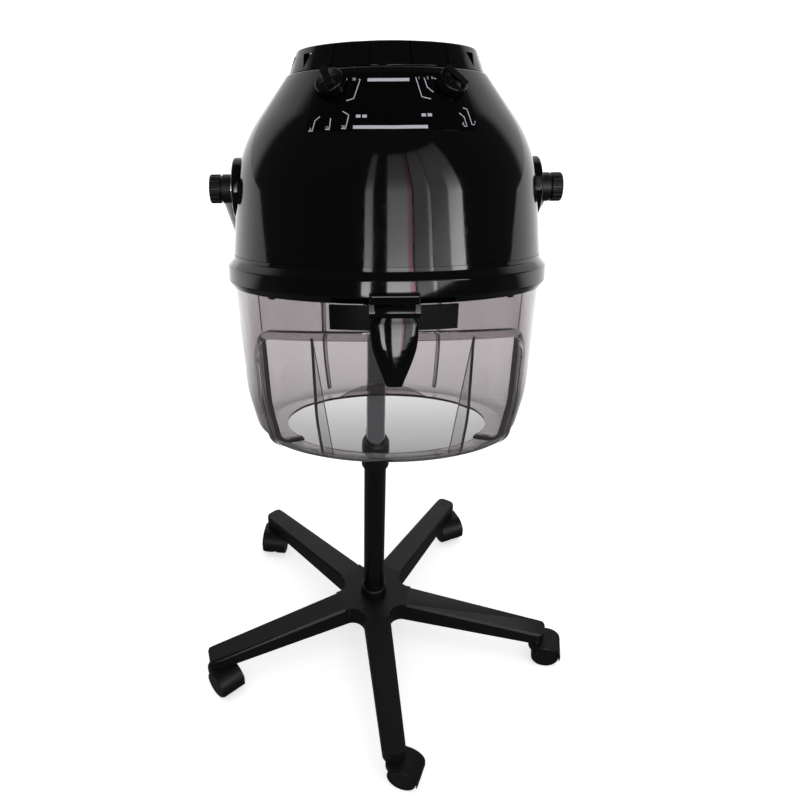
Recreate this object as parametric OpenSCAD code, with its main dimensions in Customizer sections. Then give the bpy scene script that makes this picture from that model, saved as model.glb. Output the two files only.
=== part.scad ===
// Salon hood dryer on a rolling five-arm stand.
// Lengths are millimetres. The floor is z = 0 and the hood faces -Y.

/* [Hood housing] */
// Radius of the housing at its foot
hood_r = 161.8; // [150:1:170]
// Height of the foot below the tilt axis
hood_foot_drop = 66; // [55:1:75]
// Radius where wall and cone lines meet
shoulder_r = 153.8; // [147:0.5:156]
// Height of that meeting above the tilt axis
shoulder_h = 38.8; // [30:1:46]
// Radius that blends wall into cone
shoulder_blend = 140; // [60:5:150]
// Radius of the cone's top edge
cone_top_r = 102.5; // [98:0.5:106]
// Height of the cone's top edge
cone_top_h = 110.5; // [105:0.5:116]
// Thickness of the moulded shell
hood_wall = 3; // [2.5:0.1:4]
// Half distance between the flat ear faces
ear_x = 160; // [158:0.5:164]
// Diameter of an ear pad
ear_d = 64; // [56:1:70]

/* [Crown vent and top grille] */
// Height of the crown ring
crown_h = 23; // [20:1:26]
// Outer radius of the ring's foot
crown_foot_r = 100; // [97:0.5:101]
// Outer radius of the ring's top
crown_top_r = 91.5; // [88:0.5:94]
// Thickness of the ring's wall
crown_wall = 4; // [3:0.5:5]
// Divisions round the crown
crown_parts = 16; // [12:2:20]
// Width of a louvre slot at its top
louvre_w = 15; // [10:1:18]
// Height of a louvre slot
louvre_h = 14; // [10:1:15]
// Rise of the grille's dome
grille_rise = 8; // [5:1:11]
// Thickness of the grille
grille_t = 3; // [2:0.5:4]
// Width of a grille rib
grille_rib_w = 5; // [4:0.5:7]

/* [Rim band] */
// How far the band stands out past the housing's foot
rim_out = 6.7; // [5:0.1:10]
// Height of the band
rim_h = 32.5; // [28:0.5:36]
// How far the band's lower edge stands out past the bowl
rim_low_out = 2; // [1:0.2:4]

/* [Clear bowl] */
// How far the bowl's top stands out past the housing's foot
bowl_step = 0.4; // [0:0.1:0.8]
// How far the wall draws in from there to its low point
bowl_low_in = 8.6; // [6:0.2:12]
// Depth of that low point below the tilt axis
bowl_low_drop = 212; // [205:1:220]
// How far it draws in to where wall and floor lines meet
bowl_foot_in = 20.7; // [16:0.1:26]
// Depth of the bowl's floor below the tilt axis
bowl_floor_drop = 257; // [250:1:264]
// Radius of the floor's rounded corner
bowl_corner = 15; // [10:1:18]
// Width of the floor from that meeting to the mouth
floor_w = 30.5; // [26:0.5:40]
// Thickness of the clear plastic
bowl_wall = 2.8; // [2.4:0.1:3.2]
// Half angle of the opening at the front
bowl_open_a = 53; // [45:1:55]
// Height of the arched lip behind the neck
lip_h = 13; // [8:1:18]
// Half angle of the neck lip and of the rear panel
rear_a = 28; // [22:1:34]
// Depth of the rear panel's ribs
rear_rib_d = 6; // [3:0.5:8]

/* [Flip visor] */
// Gap between bowl and visor
visor_gap = 0.6; // [0.4:0.1:1]
// Thickness of the visor
visor_wall = 2.6; // [2.2:0.1:3.2]
// Half angle that the visor covers
visor_a = 58; // [56:1:64]
// Depth of the visor's top edge at the front
visor_top_drop = 124; // [120:1:130]
// Lean of the visor's top edge
visor_lean = 8; // [4:1:10]
// Radius of the visor's upper corners
visor_corner = 18; // [12:1:22]
// Width of the thick border
visor_border = 9; // [6:0.5:11]
// Extra thickness of the border
border_t = 1.2; // [0.8:0.1:2]
// Angle of a fin from the front
fin_a = 28; // [22:1:34]
// Depth of a fin at its foot
fin_depth = 17; // [10:1:20]
// Thickness of a fin
fin_t = 3; // [2:0.5:4]

/* [Visor handle] */
// Half angle of the curved backing plate
plate_a = 20.5; // [18:0.5:24]
// Height of the backing plate
plate_h = 23; // [20:1:25]
// Thickness of the backing plate
plate_t = 3.6; // [3:0.2:4]
// Width of the handle
handle_w = 43; // [38:1:50]
// Width of the handle's tip
handle_tip_w = 15; // [12:1:20]
// Drop of the handle's tip below the hinge
handle_l = 70; // [60:1:80]
// Thickness of the handle
handle_t = 8; // [6:0.5:10]
// Radius of the hinge barrel
barrel_r = 5.5; // [5:0.1:6]
// Diameter of the hinge pin
hinge_pin_d = 4; // [3:0.5:5]

/* [Controls] */
// Height of the panel's middle above the tilt axis
panel_h = 87; // [84:1:90]
// Half width of the panel's top edge
panel_top_w = 65; // [60:1:68]
// Half width of the panel's lower edge
panel_low_w = 79; // [72:1:82]
// Slant height of the panel
panel_l = 56; // [50:1:58]
// Thickness of the panel film plate
panel_t = 1.6; // [1.2:0.1:2]
// Angle of a dial from the front
dial_a = 28; // [26:0.5:29]
// Diameter of a dial
dial_d = 30; // [26:1:32]
// Height of a dial
dial_h = 13; // [10:1:16]
// Diameter of a control spindle
spindle_d = 6; // [5:0.5:7]
// Diameter of the timer and thermostat bodies
control_d = 38; // [32:1:42]
// Depth of the timer and thermostat bodies
control_l = 22; // [16:1:26]

/* [Blower and heater] */
// Diameter of the motor
motor_d = 72; // [60:1:80]
// Length of the motor
motor_l = 40; // [34:1:44]
// Diameter of the motor shaft
shaft_d = 8; // [6:0.5:9]
// Radius of the fan
fan_r = 76; // [60:1:80]
// Number of fan blades
blades = 8; // [5:1:10]
// Height of the heater boards
board_h = 20; // [16:1:22]
// Radius of the heater boards
board_r = 84; // [70:1:88]
// Number of heating rings
heat_rings = 3; // [1:1:3]
// Radius of the distributor's flat top
dome_flat_r = 92; // [88:1:96]
// Depth of the distributor dome
dome_h = 44; // [36:1:46]

/* [Yoke] */
// Distance of the tilt axis in front of the post
pivot_fwd = 215; // [205:1:225]
// Height of the tilt axis above the floor
pivot_z = 969; // [960:1:1000]
// Lean of the hood in its rest pose
hood_tilt = 20.8; // [16:0.2:24]
// Diameter of the yoke tube
yoke_tube_d = 13; // [11:0.5:14]
// Bend radius of the yoke tube
yoke_bend = 120; // [100:5:135]
// Fall of the yoke plane from pivots to post
yoke_fall = 45; // [43:0.5:47]
// Diameter of the pivot bolts
bolt_d = 8; // [6:0.5:9]
// Diameter of the knuckles
knuckle_d = 30; // [28:1:32]
// Length of a knuckle
knuckle_l = 9; // [8:0.5:10]
// Diameter of a tilt knob
knob_d = 30; // [26:1:32]
// Length of a tilt knob
knob_l = 13; // [11:0.5:15]

/* [Post] */
// Diameter of the outer tube
outer_d = 36; // [34:0.5:38]
// Diameter of the sliding chrome tube
inner_d = 30; // [27:0.5:31]
// Wall of both tubes
tube_wall = 1.8; // [1.2:0.1:2.2]
// Height of the outer tube's top end
outer_top = 452; // [430:2:470]
// Height of the chrome tube's lower end
inner_foot = 205; // [190:5:220]
// Height of the clamp collar
collar_h = 52; // [44:1:58]
// Wall of the clamp collar
collar_wall = 4.2; // [3.5:0.1:5]
// Diameter of the height knob
height_knob_d = 34; // [28:1:38]

/* [Base] */
// Turn of the star about the post
base_turn = 4.5; // [0:0.5:10]
// Distance of the caster stems from the post
caster_r = 300; // [280:1:310]
// Height of the hub's top
hub_top = 103; // [98:1:108]
// Height of an arm's top at its tip
tip_top = 77.5; // [75:0.5:80]
// Width of an arm at the hub
arm_w = 46; // [42:1:48]
// Width of an arm at its tip
tip_w = 37; // [34:1:40]
// Depth of an arm at the hub
arm_depth = 39; // [36:1:42]
// Depth of an arm at its tip
tip_depth = 24; // [22:0.5:24]
// Wall of the moulded arms
arm_wall = 3.6; // [3:0.1:4.4]
// Radius of the blends between arms
hub_blend = 22; // [16:1:26]
// Bevel along the arms' top edges
arm_bevel = 3.4; // [2:0.2:4]

/* [Casters] */
// Diameter of a wheel
wheel_d = 49; // [46:1:49]
// Width of one wheel
wheel_w = 19.5; // [16:0.5:20]
// Distance of the axle behind the stem
trail = 20; // [18:0.5:22]
// Thickness of the web between the wheels
web_t = 6; // [5:0.5:7]
// Diameter of a caster stem
stem_d = 11; // [9:0.5:12]
// Diameter of a caster axle
axle_d = 6; // [5:0.5:7]

/* [Hidden] */
$fn = 72;

// Clearances and one overrun for every cut
seat_gap = 0.3;
run_gap = 0.05;
overrun = 2;
rim_r = hood_r + rim_out;
bowl_top_r = hood_r + bowl_step;
rim_low_r = bowl_top_r + rim_low_out;
bowl_low_r = bowl_top_r - bowl_low_in;
bowl_foot_r = bowl_top_r - bowl_foot_in;
mouth_r = bowl_foot_r - floor_w;
far = 2 * rim_r;
arc_steps = 8;

// Colours as the photograph shows them
gloss_black = "#141414";
matte_black = "#202122";
smoke_clear = [0.55, 0.53, 0.53, 0.4];
chrome_grey = "#c9ccd0";
steel_grey = "#8d9094";
mica_tan = "#c8b48c";

// Outlines: each corner is [x, y, corner radius]
function unit(v) = v / norm(v);
function flat(p) = [p[0], p[1]];
function turn_to(a, b) = (b - a + 900) % 360 - 180;
function bend(a, b, c) =
    let (u = unit(flat(a) - flat(b)), w = unit(flat(c) - flat(b)), half = acos(u * w) / 2)
    let (start = flat(b) + u * b[2] / tan(half), end = flat(b) + w * b[2] / tan(half))
    let (mid = flat(b) + unit(u + w) * b[2] / sin(half))
    let (a0 = atan2(start[1] - mid[1], start[0] - mid[0]))
    let (a1 = atan2(end[1] - mid[1], end[0] - mid[0]))
    [for (i = [0 : arc_steps])
        let (a = a0 + turn_to(a0, a1) * i / arc_steps) mid + b[2] * [cos(a), sin(a)]];
function closed_line(p) =
    let (n = len(p))
    [for (i = [0 : n - 1]) each p[i][2] == 0 ? [flat(p[i])]
        : bend(p[(i + n - 1) % n], p[i], p[(i + 1) % n])];
function open_line(p) =
    let (n = len(p))
    [for (i = [0 : n - 1]) each p[i][2] == 0 ? [flat(p[i])] : bend(p[i - 1], p[i], p[i + 1])];
function beside(line, d) =
    let (n = len(line))
    [for (i = [0 : n - 1])
        let (t = unit(line[min(i + 1, n - 1)] - line[max(i - 1, 0)])) line[i] + d * [t[1], -t[0]]];
function reversed(p) = [for (i = [len(p) - 1 : -1 : 0]) p[i]];
function band(line, d0, d1) = concat(beside(line, d1), reversed(beside(line, d0)));

// Housing outline, from its foot to the flange that carries the crown
flange_r = cone_top_r - 4 * hood_wall;
edge_blend = hood_wall + 1.5 * overrun;
hood_line = open_line([
    [hood_r, -hood_foot_drop, 0],
    [shoulder_r, shoulder_h, shoulder_blend],
    [cone_top_r, cone_top_h, edge_blend / 1.5],
    [flange_r, cone_top_h, 0]]);
cone_lean = atan((shoulder_r - cone_top_r) / (cone_top_h - shoulder_h));
function cone_r(h) = cone_top_r + (cone_top_h - h) * tan(cone_lean);

// Bowl outline, from the mouth's edge round the corner and up to the rim
rim_top = -(hood_foot_drop + seat_gap);
rim_low = rim_top - rim_h;
bowl_seat_share = 0.42;
bowl_top = rim_top - rim_h * bowl_seat_share - seat_gap;
bowl_line = open_line([
    [mouth_r, -bowl_floor_drop, 0],
    [bowl_foot_r, -bowl_floor_drop, bowl_corner],
    [bowl_low_r, -bowl_low_drop, shoulder_blend],
    [bowl_top_r, rim_low, bowl_corner],
    [bowl_top_r, bowl_top, 0]]);

// Heights inside the hood
spigot_h = rim_h * 0.3;
dome_seat = rim_top + spigot_h + seat_gap;
dome_top = dome_seat + dome_h;
board_low = dome_top + seat_gap;
bracket_t = hood_wall;
bracket_top = cone_top_h - hood_wall - seat_gap;
motor_top = bracket_top - bracket_t - seat_gap;
motor_low = motor_top - motor_l;
fan_h = (motor_low - board_low - board_h) / 1.6;
fan_low = board_low + board_h + fan_h * 0.15;

// Crown
crown_low = cone_top_h + seat_gap;
crown_top = crown_low + crown_h;
rebate = grille_t;
rebate_r = crown_top_r - crown_wall * 0.75;
crown_lean = atan((crown_foot_r - crown_top_r) / crown_h);
crown_pitch = 360 / crown_parts;
front_parts = 4;

// Controls and gland
panel_proud = panel_t * 0.2;
dial_at = panel_h + panel_l * 0.11;
nut_r = spindle_d * 0.8;
gland_bore_d = 7.4;
gland_r = gland_bore_d;
gland_h = -hood_foot_drop * 0.6;
gland_y = hood_r - hood_wall * 0.3;

// Visor hinge
plate_in = visor_gap + visor_wall + seat_gap;
handle_in_r = bowl_top_r + plate_in + plate_t + seat_gap;
hinge_r = handle_in_r + barrel_r;
hinge_drop = -rim_low + barrel_r;
barrel_w = handle_w * 0.84;
lug_w = handle_w * 0.11;
border_lip = visor_gap + visor_wall + border_t;

// Yoke
yoke_run = pivot_fwd / cos(yoke_fall);
yoke_z = pivot_z - pivot_fwd * tan(yoke_fall);
washer_t = knuckle_l / 4;
eye_x = ear_x + washer_t + 2 * seat_gap;
eye_t = knuckle_l - 2 * seat_gap;
knob_x = eye_x + knuckle_l + seat_gap;
leg_x = eye_x + yoke_tube_d / 2 + seat_gap;
eye_r = knuckle_d * 0.4;
tongue_w = yoke_tube_d;
leg_start = max(knob_d, knuckle_d) / 2 + overrun;

// Post
inner_top = yoke_z - yoke_tube_d;
socket_r = inner_d / 2 + 1.3 * collar_wall;
socket_low = yoke_z - 2 * inner_d;
lip_z = outer_top + overrun;
collar_top = outer_top + 1.5 * collar_wall;
collar_low = collar_top - collar_h;
collar_r = outer_d / 2 + collar_wall;
screw_z = collar_low + collar_h / 2;
bush_l = 1.2 * collar_h;
boss_y = collar_r + 2.2 * collar_wall;
screw_d = bolt_d;
knob_y = boss_y + overrun;

// Base
arms = 5;
arm_step = 360 / arms;
hub_reach = (arm_w / 2 + hub_blend) / tan(arm_step / 2);
tip_x = caster_r + tip_w * 0.38;
tip_round = tip_w * 0.38;
hub_under = hub_top - arm_depth;
tip_under = tip_top - tip_depth;
arm_fall = atan((hub_top - tip_top) / (tip_x - hub_reach));
arm_taper = atan((arm_w - tip_w) / 2 / (tip_x - hub_reach));
core_r = outer_d / 2 + 2.4 * arm_wall;
socket_wall = stem_d * 0.2;

// Casters
wheel_r = wheel_d / 2;
wheel_gap = 1.2;
fender_r = wheel_r + wheel_gap + overrun;
caster_top = wheel_r + fender_r;
side_gap = 0.5;
fender_w = web_t + 2 * (side_gap + wheel_w) - side_gap;
boss_r = stem_d;
stem_grip = boss_r * 0.55;
caster_turns = [-22, -10, -68, -98, -50];
stem_collar_h = tip_under - caster_top - seat_gap;
stem_top = tip_under + tip_depth * 0.7;

// Footprint of the casters and hood, which centres the model
function arm_angle(k) = base_turn - 90 + arm_step * k;
function reach(k, u) =
    let (a = caster_turns[k],
        along = u * [cos(a), sin(a)],
        across = abs(u * [-sin(a), cos(a)]),
        corner = abs(along) + across - 1,
        wheel_out = wheel_r * abs(along) + (web_t / 2 + wheel_w) * across - wheel_w / 6 * corner,
        fender_out = fender_r * along + fender_w / 2 * across - fender_w * 0.075 * corner)
    u * caster_r * [cos(arm_angle(k)), sin(arm_angle(k))] + trail * along + max(wheel_out, fender_out);
function tip_reach(k, u) =
    let (a = arm_angle(k),
        along = u * [cos(a), sin(a)],
        across = abs(u * [-sin(a), cos(a)]))
    tip_x * along + tip_w / 2 * across - tip_round * (abs(along) + across - 1);
function furthest(u) = max([for (k = [0 : arms - 1]) max(reach(k, u), tip_reach(k, u))]);
right_x = furthest([1, 0]);
left_x = furthest([-1, 0]);
back_y = furthest([0, 1]);
front_y = pivot_fwd + visor_gap + visor_wall
    + max([for (p = bowl_line) p[0] * cos(hood_tilt) - p[1] * sin(hood_tilt)]);
mid_x = (right_x - left_x) / 2;
mid_y = (back_y - front_y) / 2;

// Frames: the whole stand, the tilted hood, a spot on the cone, the visor hinge, one caster
module stand() { translate([-mid_x, -mid_y, 0]) children(); }
module hood_frame() {
    stand() translate([0, -pivot_fwd, pivot_z]) rotate([-hood_tilt, 0, 0]) children();
}
module on_cone(a, h) {
    rotate([0, 0, a]) translate([0, -cone_r(h), h]) rotate([90 - cone_lean, 0, 0]) children();
}
module on_pivot(side) { mirror([side < 0 ? 1 : 0, 0, 0]) rotate([0, 90, 0]) children(); }
module caster_frame(k) {
    stand() rotate([0, 0, arm_angle(k)]) translate([caster_r, 0, 0])
        rotate([0, 0, caster_turns[k] - arm_angle(k)]) children();
}
module ring(r_out, r_in, h) {
    difference() {
        cylinder(r = r_out, h = h);
        translate([0, 0, -overrun]) cylinder(r = r_in, h = h + 2 * overrun);
    }
}

// Base
hub_side = arm_w / 2 - seat_gap;
hub_end = hub_reach - seat_gap / 2;
function spun(x, y, a) = [x * cos(a) - y * sin(a), x * sin(a) + y * cos(a)];
hub_line = closed_line([for (k = [0 : arms - 1], i = [0 : 2])
    i == 2 ? [each spun(hub_side / sin(arm_step / 2), 0, arm_angle(k) + arm_step / 2), hub_blend]
    : [each spun(hub_end, i == 0 ? -hub_side : hub_side, arm_angle(k)), 0]]);
module arm_plan(inset = 0) {
    end = tip_x - inset;
    polygon(closed_line([
        [core_r, -arm_w / 2 + inset, 0], [hub_reach, -arm_w / 2 + inset, 0],
        [end, -tip_w / 2 + inset, tip_round - inset], [end, tip_w / 2 - inset, tip_round - inset],
        [hub_reach, arm_w / 2 - inset, 0], [core_r, arm_w / 2 - inset, 0]]));
}
module arm_side(inset = 0) {
    drop = inset > 0 ? arm_depth : 0;
    polygon([[core_r, hub_top - inset], [hub_reach, hub_top - inset], [tip_x, tip_top - inset],
        [tip_x, tip_under - drop], [hub_reach, hub_under - drop], [core_r, hub_under - drop]]);
}
module arm_form(inset = 0) {
    intersection() {
        linear_extrude(height = hub_top + overrun) arm_plan(inset);
        rotate([90, 0, 0]) translate([0, 0, -arm_w]) linear_extrude(height = 2 * arm_w) arm_side(inset);
    }
}
module arm_bevels() {
    leg = arm_bevel * sqrt(2);
    for (s = [-1, 1]) {
        translate([hub_reach, s * arm_w / 2, hub_top]) rotate([0, 0, -s * arm_taper])
            rotate([0, arm_fall, 0]) rotate([45, 0, 0])
            translate([arm_bevel, -leg / 2, -leg / 2]) cube([tip_x, leg, leg]);
    }
}
rib_shares = [0.4, 0.6, 0.8];
module arm_pocket() {
    difference() {
        arm_form(arm_wall);
        translate([0, 0, -overrun]) cylinder(r = core_r + 3 * arm_wall, h = hub_top);
        translate([caster_r, 0, 0]) cylinder(r = stem_d / 2 + socket_wall + arm_wall, h = hub_top);
        for (f = rib_shares) {
            translate([tip_x * f, -arm_w / 2, 0]) cube([arm_wall * 0.7, arm_w, hub_top]);
        }
    }
}
module star_base() {
    color(matte_black) stand() difference() {
        union() {
            for (k = [0 : arms - 1]) rotate([0, 0, arm_angle(k)]) arm_form();
            translate([0, 0, hub_under]) linear_extrude(height = arm_depth) polygon(hub_line);
        }
        for (k = [0 : arms - 1]) rotate([0, 0, arm_angle(k)]) {
            arm_pocket();
            arm_bevels();
            translate([caster_r, 0, 0]) cylinder(r = stem_d / 2 + socket_wall, h = stem_top + seat_gap);
        }
        cylinder(r = outer_d / 2 + seat_gap, h = hub_top + overrun);
    }
}
module stem_sockets() {
    tall = stem_top - tip_under;
    color(steel_grey) stand() for (k = [0 : arms - 1]) rotate([0, 0, arm_angle(k)])
        translate([caster_r, 0, tip_under])
        ring(stem_d / 2 + socket_wall - run_gap, stem_d / 2 + run_gap, tall);
}
module hub_collar() {
    collar_line = closed_line([
        [outer_d / 2 + seat_gap, hub_top + seat_gap, 0],
        [outer_d / 2 + 1.4 * arm_wall, hub_top + seat_gap, 0],
        [outer_d / 2 + 1.3 * arm_wall, hub_top + outer_d / 2, arm_wall],
        [outer_d / 2 + seat_gap, hub_top + outer_d / 2, 0]]);
    color(matte_black) stand() rotate_extrude() polygon(collar_line);
}

// Post
module outer_tube() {
    color(matte_black) stand() difference() {
        translate([0, 0, hub_under]) ring(outer_d / 2, outer_d / 2 - tube_wall, outer_top - hub_under);
        translate([0, 0, screw_z]) rotate([-90, 0, 0]) cylinder(d = screw_d + overrun, h = outer_d);
    }
}
module guide_bush() {
    color("#3a3c3e") stand() difference() {
        union() {
            translate([0, 0, outer_top - bush_l])
                cylinder(r = outer_d / 2 - tube_wall - 2 * run_gap, h = bush_l + overrun);
            translate([0, 0, outer_top + run_gap]) cylinder(r = outer_d / 2, h = overrun - run_gap);
        }
        cylinder(r = inner_d / 2 + run_gap, h = 2 * outer_top);
        translate([0, 0, screw_z]) rotate([-90, 0, 0]) cylinder(d = screw_d + overrun, h = outer_d);
    }
}
module clamp_collar() {
    bore = outer_d / 2 + seat_gap;
    color(matte_black) stand() difference() {
        union() {
            rotate_extrude() polygon(closed_line([
                [bore / 2, collar_low, 0], [collar_r, collar_low, overrun],
                [collar_r, lip_z, 0], [collar_r - collar_wall / 2, collar_top, overrun],
                [bore / 2, collar_top, 0]]));
            translate([0, 0, screw_z]) rotate([-90, 0, 0]) cylinder(r = 2.4 * collar_wall, h = boss_y);
        }
        translate([0, 0, collar_low - overrun]) cylinder(r = bore, h = lip_z + seat_gap + overrun - collar_low);
        cylinder(r = inner_d / 2 + 2 * seat_gap, h = 2 * collar_top);
        translate([0, 0, screw_z]) rotate([-90, 0, 0]) cylinder(r = screw_d / 2 + run_gap, h = 2 * boss_y);
    }
}
module clamp_screw() {
    tail = inner_d / 2 + seat_gap;
    color(steel_grey) stand() translate([0, tail, screw_z]) rotate([-90, 0, 0])
        cylinder(d = screw_d, h = knob_y + height_knob_d * 0.3 - tail);
}
module lobed(d, lobes, h) {
    lobe_r = d * 0.2;
    cylinder(r = d / 2 - lobe_r / 2, h = h);
    for (i = [0 : lobes - 1]) rotate([0, 0, i * 360 / lobes])
        translate([d / 2 - lobe_r, 0, h * 0.1]) cylinder(r = lobe_r, h = h * 0.8);
}
module clamp_knob() {
    tall = height_knob_d * 0.5;
    color(matte_black) stand() translate([0, knob_y, screw_z]) rotate([-90, 0, 0]) difference() {
        lobed(height_knob_d, 5, tall);
        translate([0, 0, -overrun]) cylinder(r = screw_d / 2 + run_gap, h = height_knob_d * 0.3 + 2 * overrun);
    }
}
module inner_tube() {
    color(chrome_grey) stand() translate([0, 0, inner_foot])
        ring(inner_d / 2, inner_d / 2 - tube_wall, inner_top - inner_foot);
}

// Yoke
module yoke_frame() {
    stand() translate([0, -pivot_fwd, pivot_z]) rotate([-yoke_fall, 0, 0]) children();
}
module yoke_socket() {
    saddle_r = yoke_tube_d / 2 + 1.2 * collar_wall;
    saddle_w = 2.2 * inner_d;
    color(matte_black) stand() difference() {
        union() {
            translate([0, 0, socket_low]) cylinder(r = socket_r, h = yoke_z - socket_low);
            translate([-saddle_w / 2, 0, yoke_z]) rotate([0, 90, 0]) cylinder(r = saddle_r, h = saddle_w);
        }
        cylinder(r = inner_d / 2 + run_gap, h = inner_top + seat_gap);
        translate([-saddle_w, 0, yoke_z]) rotate([0, 90, 0])
            cylinder(r = yoke_tube_d / 2 + 2 * run_gap, h = 2 * saddle_w);
    }
}
module yoke() {
    tube_r = yoke_tube_d / 2;
    straight = yoke_run - yoke_bend;
    color(chrome_grey) yoke_frame() {
        translate([-leg_x + yoke_bend, yoke_run, 0]) rotate([0, 90, 0])
            cylinder(r = tube_r, h = 2 * (leg_x - yoke_bend));
        for (s = [-1, 1]) mirror([s < 0 ? 1 : 0, 0, 0]) {
            translate([leg_x, leg_start, 0]) rotate([-90, 0, 0]) cylinder(r = tube_r, h = straight - leg_start);
            translate([leg_x - yoke_bend, straight, 0]) rotate_extrude(angle = 90)
                translate([yoke_bend, 0]) circle(r = tube_r);
            difference() {
                union() {
                    translate([eye_x + seat_gap, 0, 0]) rotate([0, 90, 0]) cylinder(r = eye_r, h = eye_t);
                    translate([eye_x + seat_gap, 0, -tongue_w / 2])
                        cube([eye_t, leg_start + tongue_w, tongue_w]);
                }
                translate([ear_x, 0, 0]) rotate([0, 90, 0])
                    cylinder(r = bolt_d / 2 + run_gap, h = 2 * knuckle_l);
            }
        }
    }
}
module knuckle(side) {
    slot_w = tongue_w + 2 * seat_gap;
    color(matte_black) yoke_frame() mirror([side < 0 ? 1 : 0, 0, 0]) difference() {
        translate([eye_x, 0, 0]) rotate([0, 90, 0]) cylinder(d = knuckle_d, h = knuckle_l);
        translate([ear_x, 0, 0]) rotate([0, 90, 0]) cylinder(r = eye_r + run_gap, h = 2 * knuckle_l);
        translate([ear_x, 0, -slot_w / 2]) cube([2 * knuckle_l, knuckle_d, slot_w]);
    }
}
module knuckle_left() { knuckle(-1); }
module knuckle_right() { knuckle(1); }

// Tilt pivots, which turn with the hood
module pivot_washers() {
    color(steel_grey) hood_frame() for (s = [-1, 1]) on_pivot(s)
        translate([0, 0, ear_x + seat_gap]) ring(knuckle_d / 2, bolt_d / 2 + run_gap, washer_t);
}
module pivot_bolts() {
    wall_r = hood_r - (hood_r - shoulder_r) * hood_foot_drop / (hood_foot_drop + shoulder_h);
    head_x = wall_r - hood_wall - bolt_d / 2 - 4 * seat_gap;
    color(steel_grey) hood_frame() for (s = [-1, 1]) on_pivot(s) {
        translate([0, 0, head_x]) cylinder(d = 1.9 * bolt_d, h = bolt_d / 2, $fn = 6);
        translate([0, 0, head_x]) cylinder(d = bolt_d, h = knob_x + knob_l * 0.7 - head_x);
    }
}
module tilt_knob(side) {
    groove = knob_l * 0.12;
    notches = 18;
    color(matte_black) hood_frame() on_pivot(side) translate([0, 0, knob_x]) difference() {
        rotate_extrude() polygon(closed_line([
            [0, 0, 0], [knob_d * 0.42, 0, 0], [knob_d * 0.42, groove, 0], [knob_d / 2, groove, groove / 2],
            [knob_d / 2, knob_l, overrun], [knob_d * 0.3, knob_l, groove / 2],
            [knob_d * 0.28, knob_l - groove, 0], [0, knob_l - groove, 0]]));
        translate([0, 0, -overrun]) cylinder(r = bolt_d / 2 + run_gap, h = knob_l * 0.7 + seat_gap + overrun);
        for (i = [0 : notches - 1]) rotate([0, 0, i * 360 / notches])
            translate([knob_d / 2 + groove / 2, 0, 2 * groove]) cylinder(r = groove, h = knob_l);
    }
}
module tilt_knob_left() { tilt_knob(-1); }
module tilt_knob_right() { tilt_knob(1); }

// Hood housing
module outer_housing() {
    inner = beside(hood_line, -hood_wall);
    ear_from = shoulder_r - 3 * hood_wall;
    color(gloss_black) hood_frame() difference() {
        union() {
            rotate_extrude() polygon(band(hood_line, -hood_wall, 0));
            difference() {
                for (s = [-1, 1]) on_pivot(s) rotate_extrude() polygon(closed_line([
                    [0, ear_from, 0], [ear_d / 2, ear_from, 0], [ear_d / 2, ear_x, hood_wall],
                    [0, ear_x, 0]]));
                rotate_extrude() polygon(concat(inner, [[0, cone_top_h], [0, -hood_foot_drop]]));
            }
        }
        intersection() {
            rotate_extrude() polygon(band(hood_line, panel_proud - panel_t - seat_gap, overrun));
            panel_prism(seat_gap);
        }
        for (s = [-1, 1]) {
            on_cone(s * dial_a, dial_at) translate([0, 0, -control_l])
                cylinder(r = nut_r + seat_gap, h = 2 * control_l);
            on_pivot(s) cylinder(r = bolt_d / 2 + run_gap, h = 2 * ear_x);
        }
        translate([0, 0, gland_h]) rotate([-90, 0, 0]) cylinder(r = gland_r + seat_gap, h = far);
    }
}
module panel_prism(gap) {
    x_top = panel_top_w + gap;
    x_low = panel_low_w + gap;
    y_end = panel_l / 2 + gap;
    on_cone(0, panel_h) translate([0, 0, -ear_d * 0.8]) linear_extrude(height = ear_d)
        polygon(closed_line([
            [-x_top, y_end, panel_l / 7], [x_top, y_end, panel_l / 7],
            [x_low, -y_end, panel_l / 7], [-x_low, -y_end, panel_l / 7]]));
}
module control_panel() {
    color("#0c0c0d") hood_frame() difference() {
        intersection() {
            rotate_extrude() polygon(band(hood_line, panel_proud - panel_t, panel_proud));
            panel_prism(0);
        }
        for (s = [-1, 1]) on_cone(s * dial_a, dial_at) translate([0, 0, -control_l])
            cylinder(r = nut_r + seat_gap, h = 2 * control_l);
    }
}

// Crown vent: wedge louvres round the sides and back, narrow seams at the front
module crown_vent() {
    top_in = crown_top_r - 2 * crown_wall;
    shelf_h = crown_top - rebate;
    slot_top = shelf_h - crown_wall * 0.8;
    seam_w = crown_wall / 3;
    color(gloss_black) hood_frame() difference() {
        rotate_extrude() polygon(closed_line([
            [crown_foot_r - crown_wall, crown_low, 0], [crown_foot_r, crown_low, crown_wall / 4],
            [crown_top_r, crown_top, crown_wall / 2], [rebate_r, crown_top, 0],
            [rebate_r, shelf_h, 0], [top_in, shelf_h, 0], [top_in, shelf_h - crown_wall * 0.6, 0],
            [crown_top_r - crown_wall / 2, shelf_h - crown_wall * 0.8, 0]]));
        for (i = [0 : crown_parts - 1]) rotate([0, 0, (i + 0.5) * crown_pitch]) {
            at_front = i < front_parts / 2 || i >= crown_parts - front_parts / 2;
            if (at_front) {
                translate([-seam_w / 2, -crown_foot_r, crown_low]) rotate([-crown_lean, 0, 0])
                    translate([0, -crown_wall, -overrun]) cube([seam_w, crown_wall + seam_w, 2 * crown_h]);
            } else {
                translate([0, -crown_top_r, slot_top - louvre_h]) rotate([90, 0, 0])
                    translate([0, 0, -3 * crown_wall]) linear_extrude(height = 6 * crown_wall)
                    polygon([[0, 0], [louvre_w / 2, louvre_h], [-louvre_w / 2, louvre_h]]);
            }
        }
    }
}
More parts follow.
